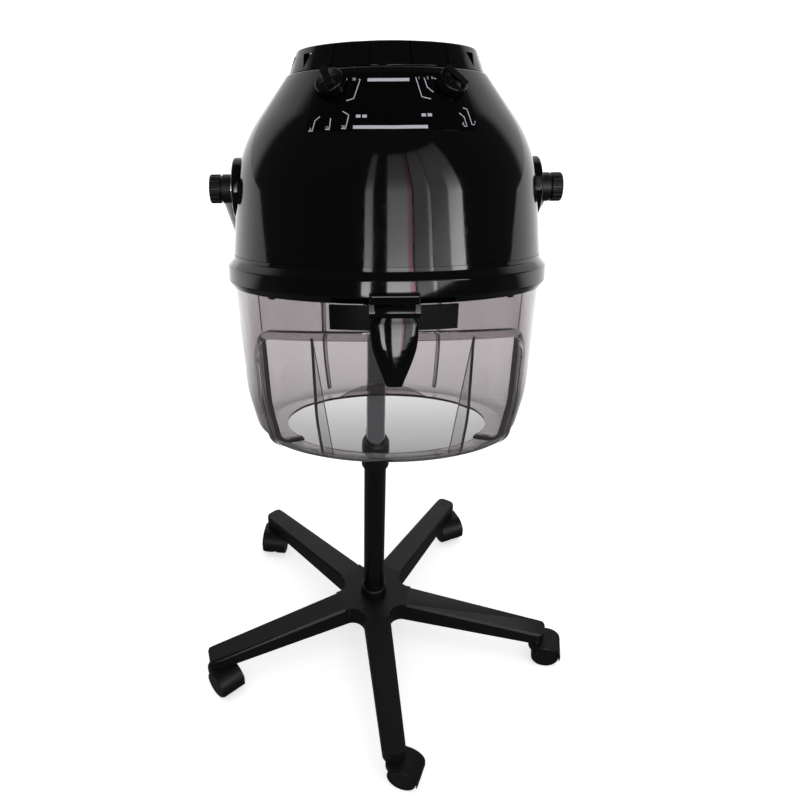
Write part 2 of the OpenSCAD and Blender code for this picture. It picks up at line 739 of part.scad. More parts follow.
module grille_plan(r_out) {
    mid_share = 0.56;
    hub_share = 0.26;
    difference() {
        circle(r = r_out);
        circle(r = r_out - crown_wall);
    }
    difference() {
        circle(r = r_out * mid_share + grille_rib_w / 2);
        circle(r = r_out * mid_share - grille_rib_w / 2);
    }
    circle(r = r_out * hub_share);
    for (i = [0 : crown_parts - 1]) rotate([0, 0, (i + 0.5) * crown_pitch])
        translate([0, -grille_rib_w / 2]) square([r_out - crown_wall / 2, grille_rib_w]);
}
module top_grille() {
    r_out = rebate_r - seat_gap;
    edge = crown_top - rebate + seat_gap;
    dome_r = (r_out * r_out + grille_rise * grille_rise) / (2 * grille_rise);
    dome_a = asin(r_out / dome_r);
    arc = [for (i = [arc_steps : -1 : 0]) dome_r * [sin(dome_a * i / arc_steps), cos(dome_a * i / arc_steps)]];
    color(gloss_black) hood_frame() intersection() {
        translate([0, 0, edge - overrun]) linear_extrude(height = 2 * grille_rise + overrun)
            grille_plan(r_out - seat_gap / 2);
        translate([0, 0, edge + grille_rise - dome_r]) rotate_extrude()
            polygon(concat(arc, [for (i = [len(arc) - 1 : -1 : 0]) arc[i] + [0, grille_t]]));
    }
}

// Rim band and clear bowl
spigot_r = hood_r - 1.5 * hood_wall;
module rim_band() {
    bulge_shares = [0.35, 0.62];
    bore = bowl_top_r - bowl_wall - rim_h * 0.2;
    shelf = bowl_top + seat_gap;
    color(gloss_black) hood_frame() rotate_extrude() polygon(closed_line([
        [bore, rim_top + spigot_h, 0], [spigot_r, rim_top + spigot_h, 0], [spigot_r, rim_top, 0],
        [hood_r + seat_gap, rim_top, 0], [rim_r, rim_top - rim_h * bulge_shares[0], rim_h / 3],
        [rim_r, rim_top - rim_h * bulge_shares[1], rim_h / 4], [rim_low_r, rim_low, 0],
        [bowl_top_r + seat_gap, rim_low, 0], [bowl_top_r + seat_gap, shelf, 0], [bore, shelf, 0]]));
}
module sector(a, h_low, h_high) {
    translate([0, 0, h_low]) linear_extrude(height = h_high - h_low)
        polygon([[0, 0], far * [-sin(a), -cos(a)], far * [sin(a), -cos(a)]]);
}
module under_edge(drop) {
    translate([0, -bowl_top_r, -drop]) rotate([-visor_lean, 0, 0])
        translate([-far, -far, -2 * far]) cube([2 * far, 2 * far, 2 * far]);
}
module bowl_band(d0, d1) { rotate_extrude() polygon(band(bowl_line, d0, d1)); }
module clear_bowl() {
    floor_low = -bowl_floor_drop - overrun;
    rib_a = 1.3;
    arch_w = mouth_r * sin(rear_a) - bowl_wall / 2;
    arch_r = (arch_w * arch_w + lip_h * lip_h) / (2 * lip_h);
    color(smoke_clear) hood_frame() {
        difference() {
            bowl_band(-bowl_wall, 0);
            intersection() {
                sector(bowl_open_a, floor_low, bowl_top);
                under_edge(visor_top_drop + visor_border);
            }
        }
        // Thick edges beside the front opening
        intersection() {
            bowl_band(-1.8 * bowl_wall, -bowl_wall / 2);
            difference() {
                sector(bowl_open_a + 2 * rib_a, floor_low, bowl_top);
                sector(bowl_open_a, floor_low - overrun, bowl_top + overrun);
            }
            under_edge(visor_top_drop + visor_border);
        }
        // Rear panel's upright ribs
        intersection() {
            bowl_band(-bowl_wall - rear_rib_d, -bowl_wall / 2);
            rotate([0, 0, 180]) difference() {
                sector(rear_a + rib_a, -bowl_floor_drop + bowl_wall / 2, rim_low - rim_h);
                sector(rear_a, floor_low, bowl_top);
            }
        }
        // Arched lip behind the neck
        intersection() {
            translate([0, 0, -bowl_floor_drop + bowl_wall / 2])
                ring(mouth_r + bowl_wall, mouth_r, lip_h + bowl_wall);
            rotate([0, 0, 180]) sector(rear_a, floor_low, bowl_top);
            translate([0, 0, lip_h + bowl_wall - bowl_floor_drop - arch_r]) rotate([-90, 0, 0])
                cylinder(r = arch_r, h = far);
        }
    }
}

// Flip visor
module corner_cut(a, inset) {
    r = visor_corner - inset;
    side = sign(a);
    a_mid = abs(a) - asin(r / bowl_top_r);
    edge_h = -visor_top_drop - inset - bowl_top_r * (1 - cos(a_mid)) * tan(visor_lean);
    slope = atan(tan(visor_lean) * sin(a_mid));
    mirror([side < 0 ? 1 : 0, 0, 0]) rotate([0, 0, a_mid]) translate([0, 0, edge_h - r])
        rotate([90, 0, 0]) rotate([0, 0, -slope]) difference() {
            cube([3 * r, 3 * r, far]);
            translate([0, 0, -overrun]) cylinder(r = r, h = far + 2 * overrun);
        }
}
module visor_window(inset) {
    a = visor_a - asin(inset / bowl_top_r);
    difference() {
        intersection() {
            sector(a, -bowl_floor_drop - far, -visor_top_drop / 2);
            under_edge(visor_top_drop + inset);
        }
        for (s = [-1, 1]) corner_cut(s * a, inset);
    }
}
module fin() {
    h_top = -visor_top_drop - visor_border;
    foot_r = bowl_foot_r - fin_depth;
    skin = beside(bowl_line, visor_gap + visor_wall / 2);
    edge = [for (p = skin) if (p[0] > foot_r && p[1] < h_top) p];
    rotate([90, 0, 0]) translate([0, 0, -fin_t / 2]) linear_extrude(height = fin_t)
        polygon(concat([[foot_r, skin[0][1]]], edge, [[edge[len(edge) - 1][0], h_top]]));
}
module flip_visor() {
    tab_top = -hinge_drop - 0.7 * barrel_r;
    mid = visor_gap + visor_wall / 2;
    out = visor_gap + visor_wall;
    color(smoke_clear) hood_frame() {
        intersection() {
            bowl_band(visor_gap, out);
            visor_window(0);
        }
        intersection() {
            bowl_band(mid, out + border_t);
            difference() {
                visor_window(0);
                visor_window(visor_border);
            }
        }
        intersection() {
            bowl_band(visor_gap, out);
            sector(plate_a, -visor_top_drop - visor_border, tab_top);
        }
        for (s = [-1, 1]) rotate([0, 0, s * fin_a - 90]) fin();
    }
}

// Handle and hinge at the visor's top
module at_hinge(w) {
    translate([-w / 2, -hinge_r, -hinge_drop]) rotate([0, 90, 0]) children();
}
module visor_handle() {
    h0 = -hinge_drop;
    neck = h0 - 1.3 * barrel_r;
    shoulder = neck - barrel_r / 2;
    tip = h0 - handle_l;
    taper = h0 - handle_l * 0.41;
    crease = h0 - handle_l * 0.76;
    outline = closed_line([
        [-barrel_w / 2, h0, 0], [-barrel_w / 2, neck, 0], [-handle_w / 2, shoulder, barrel_r / 4],
        [-handle_w / 2, taper, handle_w / 4], [-handle_tip_w / 2, tip, handle_tip_w / 4],
        [handle_tip_w / 2, tip, handle_tip_w / 4], [handle_w / 2, taper, handle_w / 4],
        [handle_w / 2, shoulder, barrel_r / 4], [barrel_w / 2, neck, 0], [barrel_w / 2, h0, 0]]);
    side = closed_line([
        [-handle_in_r, h0, 0], [-handle_in_r, tip, handle_t / 10],
        [-handle_in_r - handle_t * 0.35, tip, handle_t / 10], [-handle_in_r - handle_t * 0.75, crease, handle_t],
        [-handle_in_r - handle_t, taper, handle_l], [-hinge_r - barrel_r * 0.9, h0, 0]]);
    color(gloss_black) hood_frame() difference() {
        union() {
            at_hinge(barrel_w) cylinder(r = barrel_r, h = barrel_w);
            intersection() {
                translate([0, -handle_in_r + overrun, 0]) rotate([90, 0, 0])
                    linear_extrude(height = 4 * handle_t) polygon(outline);
                rotate([90, 0, 90]) translate([0, 0, -handle_w]) linear_extrude(height = 2 * handle_w)
                    polygon(side);
            }
        }
        at_hinge(2 * barrel_w) cylinder(r = hinge_pin_d / 2 + run_gap, h = 2 * barrel_w);
    }
}
module handle_plate() {
    plate_top = rim_low - 2 * seat_gap;
    color(matte_black) hood_frame() intersection() {
        bowl_band(plate_in, plate_in + plate_t);
        sector(plate_a, plate_top - plate_h, plate_top);
    }
}
module hinge_bracket() {
    w = barrel_w + 2 * (seat_gap + lug_w);
    bridge_low = -hinge_drop + barrel_r + 2 * seat_gap;
    bridge_h = barrel_r * 1.8;
    color(gloss_black) hood_frame() difference() {
        union() {
            translate([-w / 2, -hinge_r - barrel_r / 2, bridge_low]) cube([w, 4 * barrel_r, bridge_h]);
            for (s = [-1, 1]) translate([s * (w - lug_w) / 2, 0, 0]) {
                at_hinge(lug_w) cylinder(r = barrel_r, h = lug_w);
                translate([-lug_w / 2, -hinge_r - barrel_r / 2, -hinge_drop])
                    cube([lug_w, 1.5 * barrel_r, bridge_low + hinge_drop + barrel_r]);
            }
        }
        translate([0, 0, bridge_low - overrun]) cylinder(r = rim_r + seat_gap, h = bridge_h + 2 * overrun);
        at_hinge(2 * w) cylinder(r = hinge_pin_d / 2 + run_gap, h = 2 * w);
    }
}
module hinge_pin() {
    w = barrel_w + 2 * (seat_gap + lug_w);
    color(steel_grey) hood_frame() at_hinge(w) cylinder(d = hinge_pin_d, h = w);
}

// Controls
module dial() {
    low = panel_proud + dial_h * 0.1;
    bar_w = dial_d * 0.24;
    bar_low = low + dial_h * 0.1;
    bore_h = dial_h * 0.7;
    difference() {
        union() {
            translate([0, 0, low]) rotate_extrude() polygon(closed_line([
                [0, 0, 0], [dial_d / 2, 0, 0], [dial_d * 0.46, dial_h * 0.6, dial_h / 6],
                [0, dial_h * 0.72, 0]]));
            rotate([0, 0, 35]) intersection() {
                translate([-bar_w / 2, -dial_d / 2, bar_low]) cube([bar_w, dial_d, dial_h * 0.9]);
                translate([0, 0, bar_low]) cylinder(r1 = dial_d * 0.48, r2 = dial_d * 0.4, h = dial_h);
            }
        }
        cylinder(r = spindle_d / 2 + run_gap, h = low + bore_h);
    }
}
module control_body(w_share) {
    face = -hood_wall - seat_gap;
    body_top = face - hood_wall / 2;
    cylinder(d = spindle_d, h = panel_proud + dial_h * 0.75);
    translate([0, 0, face]) cylinder(r = nut_r, h = panel_proud + dial_h * 0.06 - face);
    translate([0, 0, body_top]) cylinder(r = 1.5 * nut_r, h = face - body_top);
    translate([0, 0, body_top - control_l]) intersection() {
        cylinder(d = control_d, h = control_l);
        translate([-control_d / 2, -control_d * w_share / 2, 0]) cube([control_d, control_d * w_share, control_l]);
    }
}
module timer_dial() { color(matte_black) hood_frame() on_cone(-dial_a, dial_at) dial(); }
module temperature_dial() { color(matte_black) hood_frame() on_cone(dial_a, dial_at) dial(); }
module timer() { color("#d9d6cc") hood_frame() on_cone(-dial_a, dial_at) control_body(1); }
module thermostat() { color("#b9a27a") hood_frame() on_cone(dial_a, dial_at) control_body(0.72); }

// Blower
module motor() {
    shield_h = motor_l * 0.12;
    color(steel_grey) hood_frame() translate([0, 0, motor_low]) difference() {
        union() {
            translate([0, 0, shield_h]) cylinder(d = motor_d, h = motor_l - 2 * shield_h);
            cylinder(d = motor_d * 0.86, h = motor_l);
        }
        translate([0, 0, -overrun]) cylinder(r = shaft_d / 2 + run_gap, h = motor_l * 0.85 + overrun);
    }
}
module motor_bracket() {
    arm_r = cone_r(bracket_top) - 3 * hood_wall;
    color(steel_grey) hood_frame() translate([0, 0, bracket_top - bracket_t])
        linear_extrude(height = bracket_t) difference() {
            union() {
                circle(d = motor_d * 1.1);
                for (a = [45, 135]) rotate(a) square([2 * arm_r, motor_d * 0.25], center = true);
            }
            circle(d = motor_d * 0.4);
        }
}
module motor_shaft() {
    color(steel_grey) hood_frame() translate([0, 0, fan_low])
        cylinder(d = shaft_d, h = motor_low + motor_l * 0.8 - fan_low);
}
module fan_impeller() {
    hub_r = 2.2 * shaft_d;
    blade_t = shaft_d * 0.3;
    color("#e6e4dc") hood_frame() translate([0, 0, fan_low]) difference() {
        union() {
            cylinder(r = hub_r, h = fan_h);
            intersection() {
                cylinder(r = fan_r, h = fan_h);
                for (i = [0 : blades - 1]) rotate([0, 0, i * 360 / blades])
                    translate([hub_r * 0.8, 0, fan_h / 2]) rotate([50, 0, 0])
                    translate([0, -blade_t / 2, -fan_h * 0.7]) cube([fan_r, blade_t, fan_h * 1.4]);
            }
        }
        translate([0, 0, -overrun]) cylinder(r = shaft_d / 2, h = fan_h + 2 * overrun);
    }
}

// Heater
wire_r = board_h * 0.1;
ring_h = board_low + board_h / 2;
function ring_r(i) = board_r * (0.9 - 0.22 * i);
module heater_boards() {
    board_t = board_h * 0.15;
    color(mica_tan) hood_frame() difference() {
        for (a = [0, 90]) rotate([0, 0, a])
            translate([-board_r, -board_t / 2, board_low]) cube([2 * board_r, board_t, board_h]);
        for (a = [0, 90], s = [-1, 1], i = [0 : heat_rings - 1]) rotate([0, 0, a])
            translate([s * ring_r(i), -board_t, ring_h]) rotate([-90, 0, 0])
            cylinder(r = wire_r + seat_gap, h = 2 * board_t);
    }
}
module heater_rings() {
    color(steel_grey) hood_frame() for (i = [0 : heat_rings - 1]) translate([0, 0, ring_h])
        rotate_extrude() translate([ring_r(i), 0]) circle(r = wire_r);
}
module air_distributor() {
    skin = hood_wall * 0.7;
    foot_r = spigot_r - rim_h * 0.3;
    dome_line = open_line([
        [spigot_r - seat_gap, dome_seat + skin, 0], [foot_r, dome_seat + skin, 2 * skin],
        [dome_flat_r, dome_top, dome_h / 2], [0, dome_top, 0]]);
    hole_shares = [[0.26, 6], [0.5, 12], [0.74, 18]];
    color("#2a2b2c") hood_frame() difference() {
        rotate_extrude() polygon(band(dome_line, -skin, 0));
        for (g = hole_shares, i = [0 : g[1] - 1]) rotate([0, 0, (i + 0.5) * 360 / g[1]])
            translate([foot_r * g[0], 0, dome_seat]) cylinder(r = dome_h * 0.14, h = 2 * dome_h);
    }
}
module cord_gland() {
    color(matte_black) hood_frame() translate([0, 0, gland_h]) rotate([-90, 0, 0]) difference() {
        union() {
            translate([0, 0, gland_y - 3 * hood_wall]) cylinder(r = gland_r, h = 5 * hood_wall);
            translate([0, 0, gland_y + hood_wall / 2]) cylinder(r = 1.5 * gland_r, h = hood_wall);
            translate([0, 0, gland_y - 3 * hood_wall]) cylinder(r = 1.4 * gland_r, h = 1.2 * hood_wall);
        }
        cylinder(d = gland_bore_d, h = far);
        cylinder(d = 1.3 * gland_bore_d, h = gland_y);
    }
}

// Casters
module caster_side() {
    block_low = caster_top - 1.4 * boss_r;
    difference() {
        union() {
            translate([trail, wheel_r]) circle(r = fender_r);
            translate([-boss_r, block_low]) square([boss_r + trail, caster_top - block_low]);
        }
        translate([-far, -far]) square([far + trail, far + block_low]);
        translate([-far, -far]) square([2 * far, far + wheel_r * 0.8]);
    }
}
module caster_plan() {
    half = fender_w / 2;
    polygon(closed_line([
        [-boss_r, -half, half * 0.75], [trail + fender_r, -half, half * 0.15],
        [trail + fender_r, half, half * 0.15], [-boss_r, half, half * 0.75]]));
}
module caster_housing(k) {
    space_r = wheel_r + wheel_gap;
    space_w = wheel_w + 2 * side_gap;
    boss_low = caster_top - 1.4 * boss_r;
    color(matte_black) caster_frame(k) difference() {
        union() {
            difference() {
                intersection() {
                    linear_extrude(height = caster_top) caster_plan();
                    translate([0, fender_w, 0]) rotate([90, 0, 0]) linear_extrude(height = 2 * fender_w)
                        caster_side();
                }
                for (s = [-1, 1]) translate([trail, s * (web_t + space_w) / 2, wheel_r])
                    rotate([90, 0, 0]) cylinder(r = space_r, h = space_w, center = true);
            }
            intersection() {
                translate([0, web_t / 2, 0]) rotate([90, 0, 0]) linear_extrude(height = web_t) union() {
                    translate([trail, wheel_r]) circle(r = axle_d * 1.4);
                    polygon([[-boss_r / 2, boss_low], [trail, wheel_r - axle_d], [trail + fender_r / 2, wheel_r],
                        [trail + fender_r / 2, caster_top - fender_r / 4], [0, caster_top - boss_r / 2]]);
                }
                cylinder(r = far, h = caster_top);
            }
        }
        translate([0, 0, caster_top - stem_grip]) cylinder(r = stem_d / 2 - run_gap, h = far);
        translate([trail, web_t, wheel_r]) rotate([90, 0, 0]) cylinder(r = axle_d / 2, h = 2 * web_t);
    }
}
module caster_stem(k) {
    color(steel_grey) caster_frame(k) {
        translate([0, 0, caster_top - stem_grip]) cylinder(r = stem_d / 2 - run_gap, h = stem_grip);
        translate([0, 0, caster_top]) cylinder(r = stem_d * 0.75, h = stem_collar_h);
        translate([0, 0, caster_top]) cylinder(d = stem_d, h = stem_top - caster_top - seat_gap);
    }
}
axle_l = web_t + 2 * side_gap + 1.3 * wheel_w;
module caster_axle(k) {
    color(steel_grey) caster_frame(k) translate([trail, axle_l / 2, wheel_r]) rotate([90, 0, 0])
        cylinder(d = axle_d, h = axle_l);
}
module caster_wheels(k) {
    bore_l = (axle_l - web_t) / 2 - side_gap + seat_gap;
    bore = axle_d / 2 + run_gap;
    color("#1b1c1d") caster_frame(k) for (s = [-1, 1])
        translate([trail, s * (web_t / 2 + side_gap), wheel_r]) rotate([-90 * s, 0, 0])
        rotate_extrude() polygon(closed_line([
            [bore, 0, 0], [wheel_r - side_gap, 0, 0], [wheel_r, side_gap, 0],
            [wheel_r, wheel_w - side_gap, wheel_w / 6], [wheel_r * 0.8, wheel_w - side_gap, 0],
            [wheel_r * 0.72, wheel_w - 3 * side_gap, 0], [wheel_r * 0.3, wheel_w - 2 * side_gap, 0],
            [0, wheel_w - side_gap, 0], [0, bore_l, 0], [bore, bore_l, 0]]));
}

star_base();
stem_sockets();
hub_collar();
outer_tube();
guide_bush();
clamp_collar();
clamp_screw();
clamp_knob();
inner_tube();
yoke_socket();
yoke();
knuckle_left();
knuckle_right();
pivot_washers();
pivot_bolts();
tilt_knob_left();
tilt_knob_right();
outer_housing();
crown_vent();
top_grille();
rim_band();
control_panel();
timer_dial();
temperature_dial();
timer();
thermostat();
motor();
motor_bracket();
motor_shaft();
fan_impeller();
heater_boards();
heater_rings();
air_distributor();
clear_bowl();
flip_visor();
visor_handle();
handle_plate();
hinge_bracket();
hinge_pin();
cord_gland();
caster_housing(0);  // caster_1_housing
caster_stem(0);  // caster_1_stem
caster_axle(0);  // caster_1_axle
caster_wheels(0);  // caster_1_wheels
caster_housing(1);  // caster_2_housing
caster_stem(1);  // caster_2_stem
caster_axle(1);  // caster_2_axle
caster_wheels(1);  // caster_2_wheels
caster_housing(2);  // caster_3_housing
caster_stem(2);  // caster_3_stem
caster_axle(2);  // caster_3_axle
caster_wheels(2);  // caster_3_wheels
caster_housing(3);  // caster_4_housing
caster_stem(3);  // caster_4_stem
caster_axle(3);  // caster_4_axle
caster_wheels(3);  // caster_4_wheels
caster_housing(4);  // caster_5_housing
caster_stem(4);  // caster_5_stem
caster_axle(4);  // caster_5_axle
caster_wheels(4);  // caster_5_wheels
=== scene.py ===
import math

import bmesh
import bpy
import numpy as np
from mathutils import Matrix, Vector


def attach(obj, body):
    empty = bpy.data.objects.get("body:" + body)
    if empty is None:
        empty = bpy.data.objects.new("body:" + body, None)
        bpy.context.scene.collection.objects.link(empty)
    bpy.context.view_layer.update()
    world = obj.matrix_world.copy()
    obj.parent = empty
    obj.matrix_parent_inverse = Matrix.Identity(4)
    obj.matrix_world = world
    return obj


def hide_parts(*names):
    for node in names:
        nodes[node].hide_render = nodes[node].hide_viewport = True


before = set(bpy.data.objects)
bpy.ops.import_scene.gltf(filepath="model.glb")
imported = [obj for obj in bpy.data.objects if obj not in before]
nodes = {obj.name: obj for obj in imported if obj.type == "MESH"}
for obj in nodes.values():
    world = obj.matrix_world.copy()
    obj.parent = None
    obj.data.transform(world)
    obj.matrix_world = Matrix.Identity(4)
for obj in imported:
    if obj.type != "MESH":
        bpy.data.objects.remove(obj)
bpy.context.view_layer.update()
scene = bpy.context.scene

# Studio: a wide pale floor under soft, even light, and tall window panes behind the camera.
# The panes are what the polished hood mirrors as upright streaks.
scene.view_settings.view_transform = "Standard"


def srgb(code, alpha=1.0):
    """The linear colour of an sRGB hex value."""
    parts = [int(code[i:i + 2], 16) / 255 for i in (1, 3, 5)]
    return [c / 12.92 if c <= 0.04045 else ((c + 0.055) / 1.055) ** 2.4 for c in parts] + [alpha]


def add(tree, kind, inputs=None, **settings):
    """Adds one node: settings are its properties, inputs are values or sockets to link."""
    node = tree.nodes.new(kind)
    for key, value in settings.items():
        setattr(node, key, value)
    for key, value in (inputs or {}).items():
        if isinstance(value, bpy.types.NodeSocket):
            tree.links.new(value, node.inputs[key])
        else:
            node.inputs[key].default_value = value
    return node


def blank(name):
    """An empty node material and its tree."""
    made = bpy.data.materials.new(name)
    made.use_nodes = True
    made.node_tree.nodes.clear()
    return made, made.node_tree


def mesh_object(name, verts, faces, material):
    """A mesh object at the origin from points in metres."""
    data = bpy.data.meshes.new(name)
    data.from_pydata([tuple(v) for v in verts], [], [tuple(f) for f in faces])
    data.materials.append(material)
    made = bpy.data.objects.new(name, data)
    scene.collection.objects.link(made)
    return made


def traced(tree):
    """1 for rays from the camera, through clear plastic or off a shine, and 1 for the last alone."""
    rays = add(tree, "ShaderNodeLightPath").outputs
    seen = rays["Is Glossy Ray"]
    for kind in ("Is Transmission Ray", "Is Camera Ray"):
        seen = add(tree, "ShaderNodeMath", {0: rays[kind], 1: seen}, operation="MAXIMUM").outputs[0]
    return seen, rays["Is Glossy Ray"]


def placed(tree, kind="Object"):
    """The X, Y and Z of a shaded point."""
    spot = add(tree, "ShaderNodeTexCoord").outputs[kind]
    return add(tree, "ShaderNodeSeparateXYZ", {"Vector": spot}).outputs


world = bpy.data.worlds.new("studio_light")
scene.world = world
world.use_nodes = True
tree = world.node_tree
tree.nodes.clear()
seen, mirrored = traced(tree)
behind = add(tree, "ShaderNodeMapRange", {
    "Value": placed(tree, "Generated")["Y"], "From Min": 0.45, "From Max": 0.62,
    "To Min": 0.1, "To Max": 1.0}, interpolation_type="SMOOTHSTEP")
bright = add(tree, "ShaderNodeMix", {0: mirrored, 2: 1.0, 3: behind.outputs[0]})
soft = add(tree, "ShaderNodeBackground", {"Color": srgb("#f2f4f6"), "Strength": 0.5})
plain = add(tree, "ShaderNodeBackground", {"Color": srgb("#ffffff"), "Strength": bright.outputs[0]})
mixed = add(tree, "ShaderNodeMixShader", {0: seen, 1: soft.outputs[0], 2: plain.outputs[0]})
add(tree, "ShaderNodeOutputWorld", {"Surface": mixed.outputs[0]})

floor_paper, tree = blank("pale_floor_paper")
matt = add(tree, "ShaderNodeBsdfDiffuse", {"Color": srgb("#f4f4f4")})
seen, mirrored = traced(tree)
spot = add(tree, "ShaderNodeTexCoord")
away = add(tree, "ShaderNodeVectorMath", {0: spot.outputs["Object"]}, operation="LENGTH")
fade = add(tree, "ShaderNodeMapRange", {"Value": away.outputs["Value"], "From Min": 0.5, "From Max": 3.0,
                                        "To Min": 0.62, "To Max": 0.98})
lift = add(tree, "ShaderNodeMath", {0: seen, 1: fade.outputs[0]}, operation="MULTIPLY")
front = add(tree, "ShaderNodeMapRange", {"Value": placed(tree)["Y"], "From Min": 0.3, "From Max": 1.1,
                                         "To Min": 0.9, "To Max": 0.0}, interpolation_type="SMOOTHSTEP")
shut = add(tree, "ShaderNodeMath", {0: front.outputs[0], 1: mirrored}, operation="MULTIPLY")
glow = add(tree, "ShaderNodeEmission", {"Color": srgb("#ffffff"), "Strength": lift.outputs[0]})
both = add(tree, "ShaderNodeAddShader", {0: matt.outputs[0], 1: glow.outputs[0]})
dark = add(tree, "ShaderNodeEmission", {"Color": srgb("#000000"), "Strength": 0.0})
paper = add(tree, "ShaderNodeMixShader", {0: shut.outputs[0], 1: both.outputs[0], 2: dark.outputs[0]})
add(tree, "ShaderNodeOutputMaterial", {"Surface": paper.outputs[0]})
reach = 14.0
floor = mesh_object("floor", [(x * reach, y * reach, 0) for x, y in ((-1, -1), (1, -1), (1, 1), (-1, 1))],
                    [(0, 1, 2, 3)], floor_paper)

# Each pane: azimuth to the right behind the camera, width in degrees, brightness, colour. Each is
# brightest at its foot and fades upwards; the peak is the strength at which the ramp reads 1.
panes = [(-16.0, 6.0, 1.0, "#ffffff"), (6.0, 16.0, 1.0, "#ffffff"), (15.6, 3.0, 0.9, "#ffc4cf"),
         (24.0, 11.0, 0.3, "#ffffff"), (30.6, 2.4, 0.9, "#ffffff"), (39.0, 13.0, 0.3, "#ffffff"),
         (51.0, 11.0, 1.0, "#ffffff")]
pivot = Vector((-0.023066, -0.130769, 0.969))
pane_away, pane_foot, pane_head, peak = 3.6, 9, 56, 30.0
for i, (azimuth, spread, bright, tint) in enumerate(panes):
    glass, tree = blank("window_pane_%d" % i)
    rise = add(tree, "ShaderNodeMapRange", {"Value": placed(tree)["Z"], "From Min": 1.5, "From Max": 4.2})
    ramp = add(tree, "ShaderNodeValToRGB", {0: rise.outputs[0]})
    stops = [(0.0, 20.0 * bright), (0.16, 14.0 * bright), (0.3, 6.0 * bright), (0.42, 2.0 * bright + 1.0),
             (0.55, 1.6), (0.85, 1.0), (1.0, 0.1)]
    for k, (where, power) in enumerate(stops):
        stop = ramp.color_ramp.elements[k] if k < 2 else ramp.color_ramp.elements.new(where)
        stop.position, stop.color = where, (power / peak,) * 3 + (1,)
    toned = add(tree, "ShaderNodeMix", {0: 1.0, 6: ramp.outputs[0], 7: srgb(tint)}, data_type="RGBA",
                blend_type="MULTIPLY")
    shine = add(tree, "ShaderNodeEmission", {"Color": toned.outputs[2], "Strength": peak})
    add(tree, "ShaderNodeOutputMaterial", {"Surface": shine.outputs[0]})
    corners = []
    for side, lift in ((-1, pane_foot), (1, pane_foot), (1, pane_head), (-1, pane_head)):
        a, e = math.radians(azimuth + side * spread / 2), math.radians(lift)
        way = Vector((math.sin(a) * math.cos(e), -math.cos(a) * math.cos(e), math.sin(e)))
        corners.append(pivot + pane_away * way)
    pane = mesh_object("window_pane_%d" % i, corners, [(0, 1, 2, 3)], glass)
    pane.visible_camera = pane.visible_diffuse = pane.visible_shadow = pane.visible_transmission = False

overhead = bpy.data.lights.new("overhead", "AREA")
overhead.size, overhead.energy = 3.0, 34.0
above = bpy.data.objects.new("overhead", overhead)
above.location = (0.3, -1.0, 3.6)
above.rotation_mode = "QUATERNION"
above.rotation_quaternion = (above.location - Vector((0, 0, 0.5))).to_track_quat("Z", "Y")
above.visible_glossy = False
scene.collection.objects.link(above)

# Camera: at the height and distance of the photograph, looking down at the hood.
# Its focal length and its centre are in pixels of an 800-pixel picture.
azimuth, pitch, focal, picture = math.atan2(0.01815, 0.99984), math.radians(35.4), 861.3, 800
ahead = Vector((math.sin(azimuth), math.cos(azimuth), 0))
right = Vector((math.cos(azimuth), -math.sin(azimuth), 0))
forward = ahead * math.cos(pitch) - Vector((0, 0, math.sin(pitch)))
up = ahead * math.sin(pitch) + Vector((0, 0, math.cos(pitch)))
lens = bpy.data.cameras.new("camera")
lens.sensor_width = 36.0
lens.lens = focal * lens.sensor_width / picture
lens.shift_x, lens.shift_y = (picture / 2 - 361.9) / picture, (391.7 - picture / 2) / picture
camera = bpy.data.objects.new("camera", lens)
camera.matrix_world = Matrix.Translation((-0.064516, -0.997869, 1.3209)) @ Matrix(
    ((right.x, up.x, -forward.x), (right.y, up.y, -forward.y), (right.z, up.z, -forward.z))).to_4x4()
scene.collection.objects.link(camera)
scene.camera = camera

# Star base: five hollow arms and a hub in one injection moulding of black glass-filled nylon.
# The moulded skin is satin, a little uneven, with a fine spark-eroded grain. Zinc-plated steel
# sockets are moulded into the tips, and a ring on the hub closes the gap round the post.


def noise(tree, size_mm, detail, **more):
    """Noise with spots of about this size in mm, fixed to the object."""
    place = add(tree, "ShaderNodeTexCoord")
    return add(tree, "ShaderNodeTexNoise", {"Vector": place.outputs["Object"], "Scale": 1000 / size_mm,
                                            "Detail": detail, **more}).outputs["Fac"]


def ranged(tree, value, low, high, to_low=0.0, to_high=1.0):
    """The value, with low to high spread over to_low to to_high."""
    return add(tree, "ShaderNodeMapRange", {"Value": value, "From Min": low, "From Max": high,
                                            "To Min": to_low, "To Max": to_high}).outputs[0]


def between(tree, share, first, second):
    """A colour between two, by the share of the second."""
    return add(tree, "ShaderNodeMix", {0: share, 6: first, 7: second}, data_type="RGBA").outputs[2]


def raised(tree, height, strength, distance):
    """The normal of a skin that this height, in metres at most, stands on."""
    return add(tree, "ShaderNodeBump", {"Height": height, "Strength": strength,
                                        "Distance": distance}).outputs[0]


def skin(tree, inputs, volume=None):
    """Ends a material with one Principled surface, and what fills it."""
    output = add(tree, "ShaderNodeOutputMaterial", {
        "Surface": add(tree, "ShaderNodeBsdfPrincipled", inputs).outputs[0]})
    if volume:
        tree.links.new(volume, output.inputs["Volume"])


def moulded(name, colour, rough, grain_mm, depth_mm, specular=0.5):
    """A moulded plastic: its grain is a bump of that size in mm, and its sheen drifts over 60 mm."""
    made, tree = blank(name)
    grain, drift = noise(tree, grain_mm, 3.0, Roughness=0.6), noise(tree, 60.0, 2.0)
    dark = [c * 0.8 for c in srgb(colour)[:3]] + [1.0]
    skin(tree, {"Base Color": between(tree, ranged(tree, grain, 0.3, 0.7), dark, srgb(colour)),
                "Roughness": ranged(tree, drift, 0.3, 0.7, rough - 0.05, rough + 0.05),
                "Specular IOR Level": specular, "Normal": raised(tree, grain, 0.35, depth_mm / 1000)})
    return made


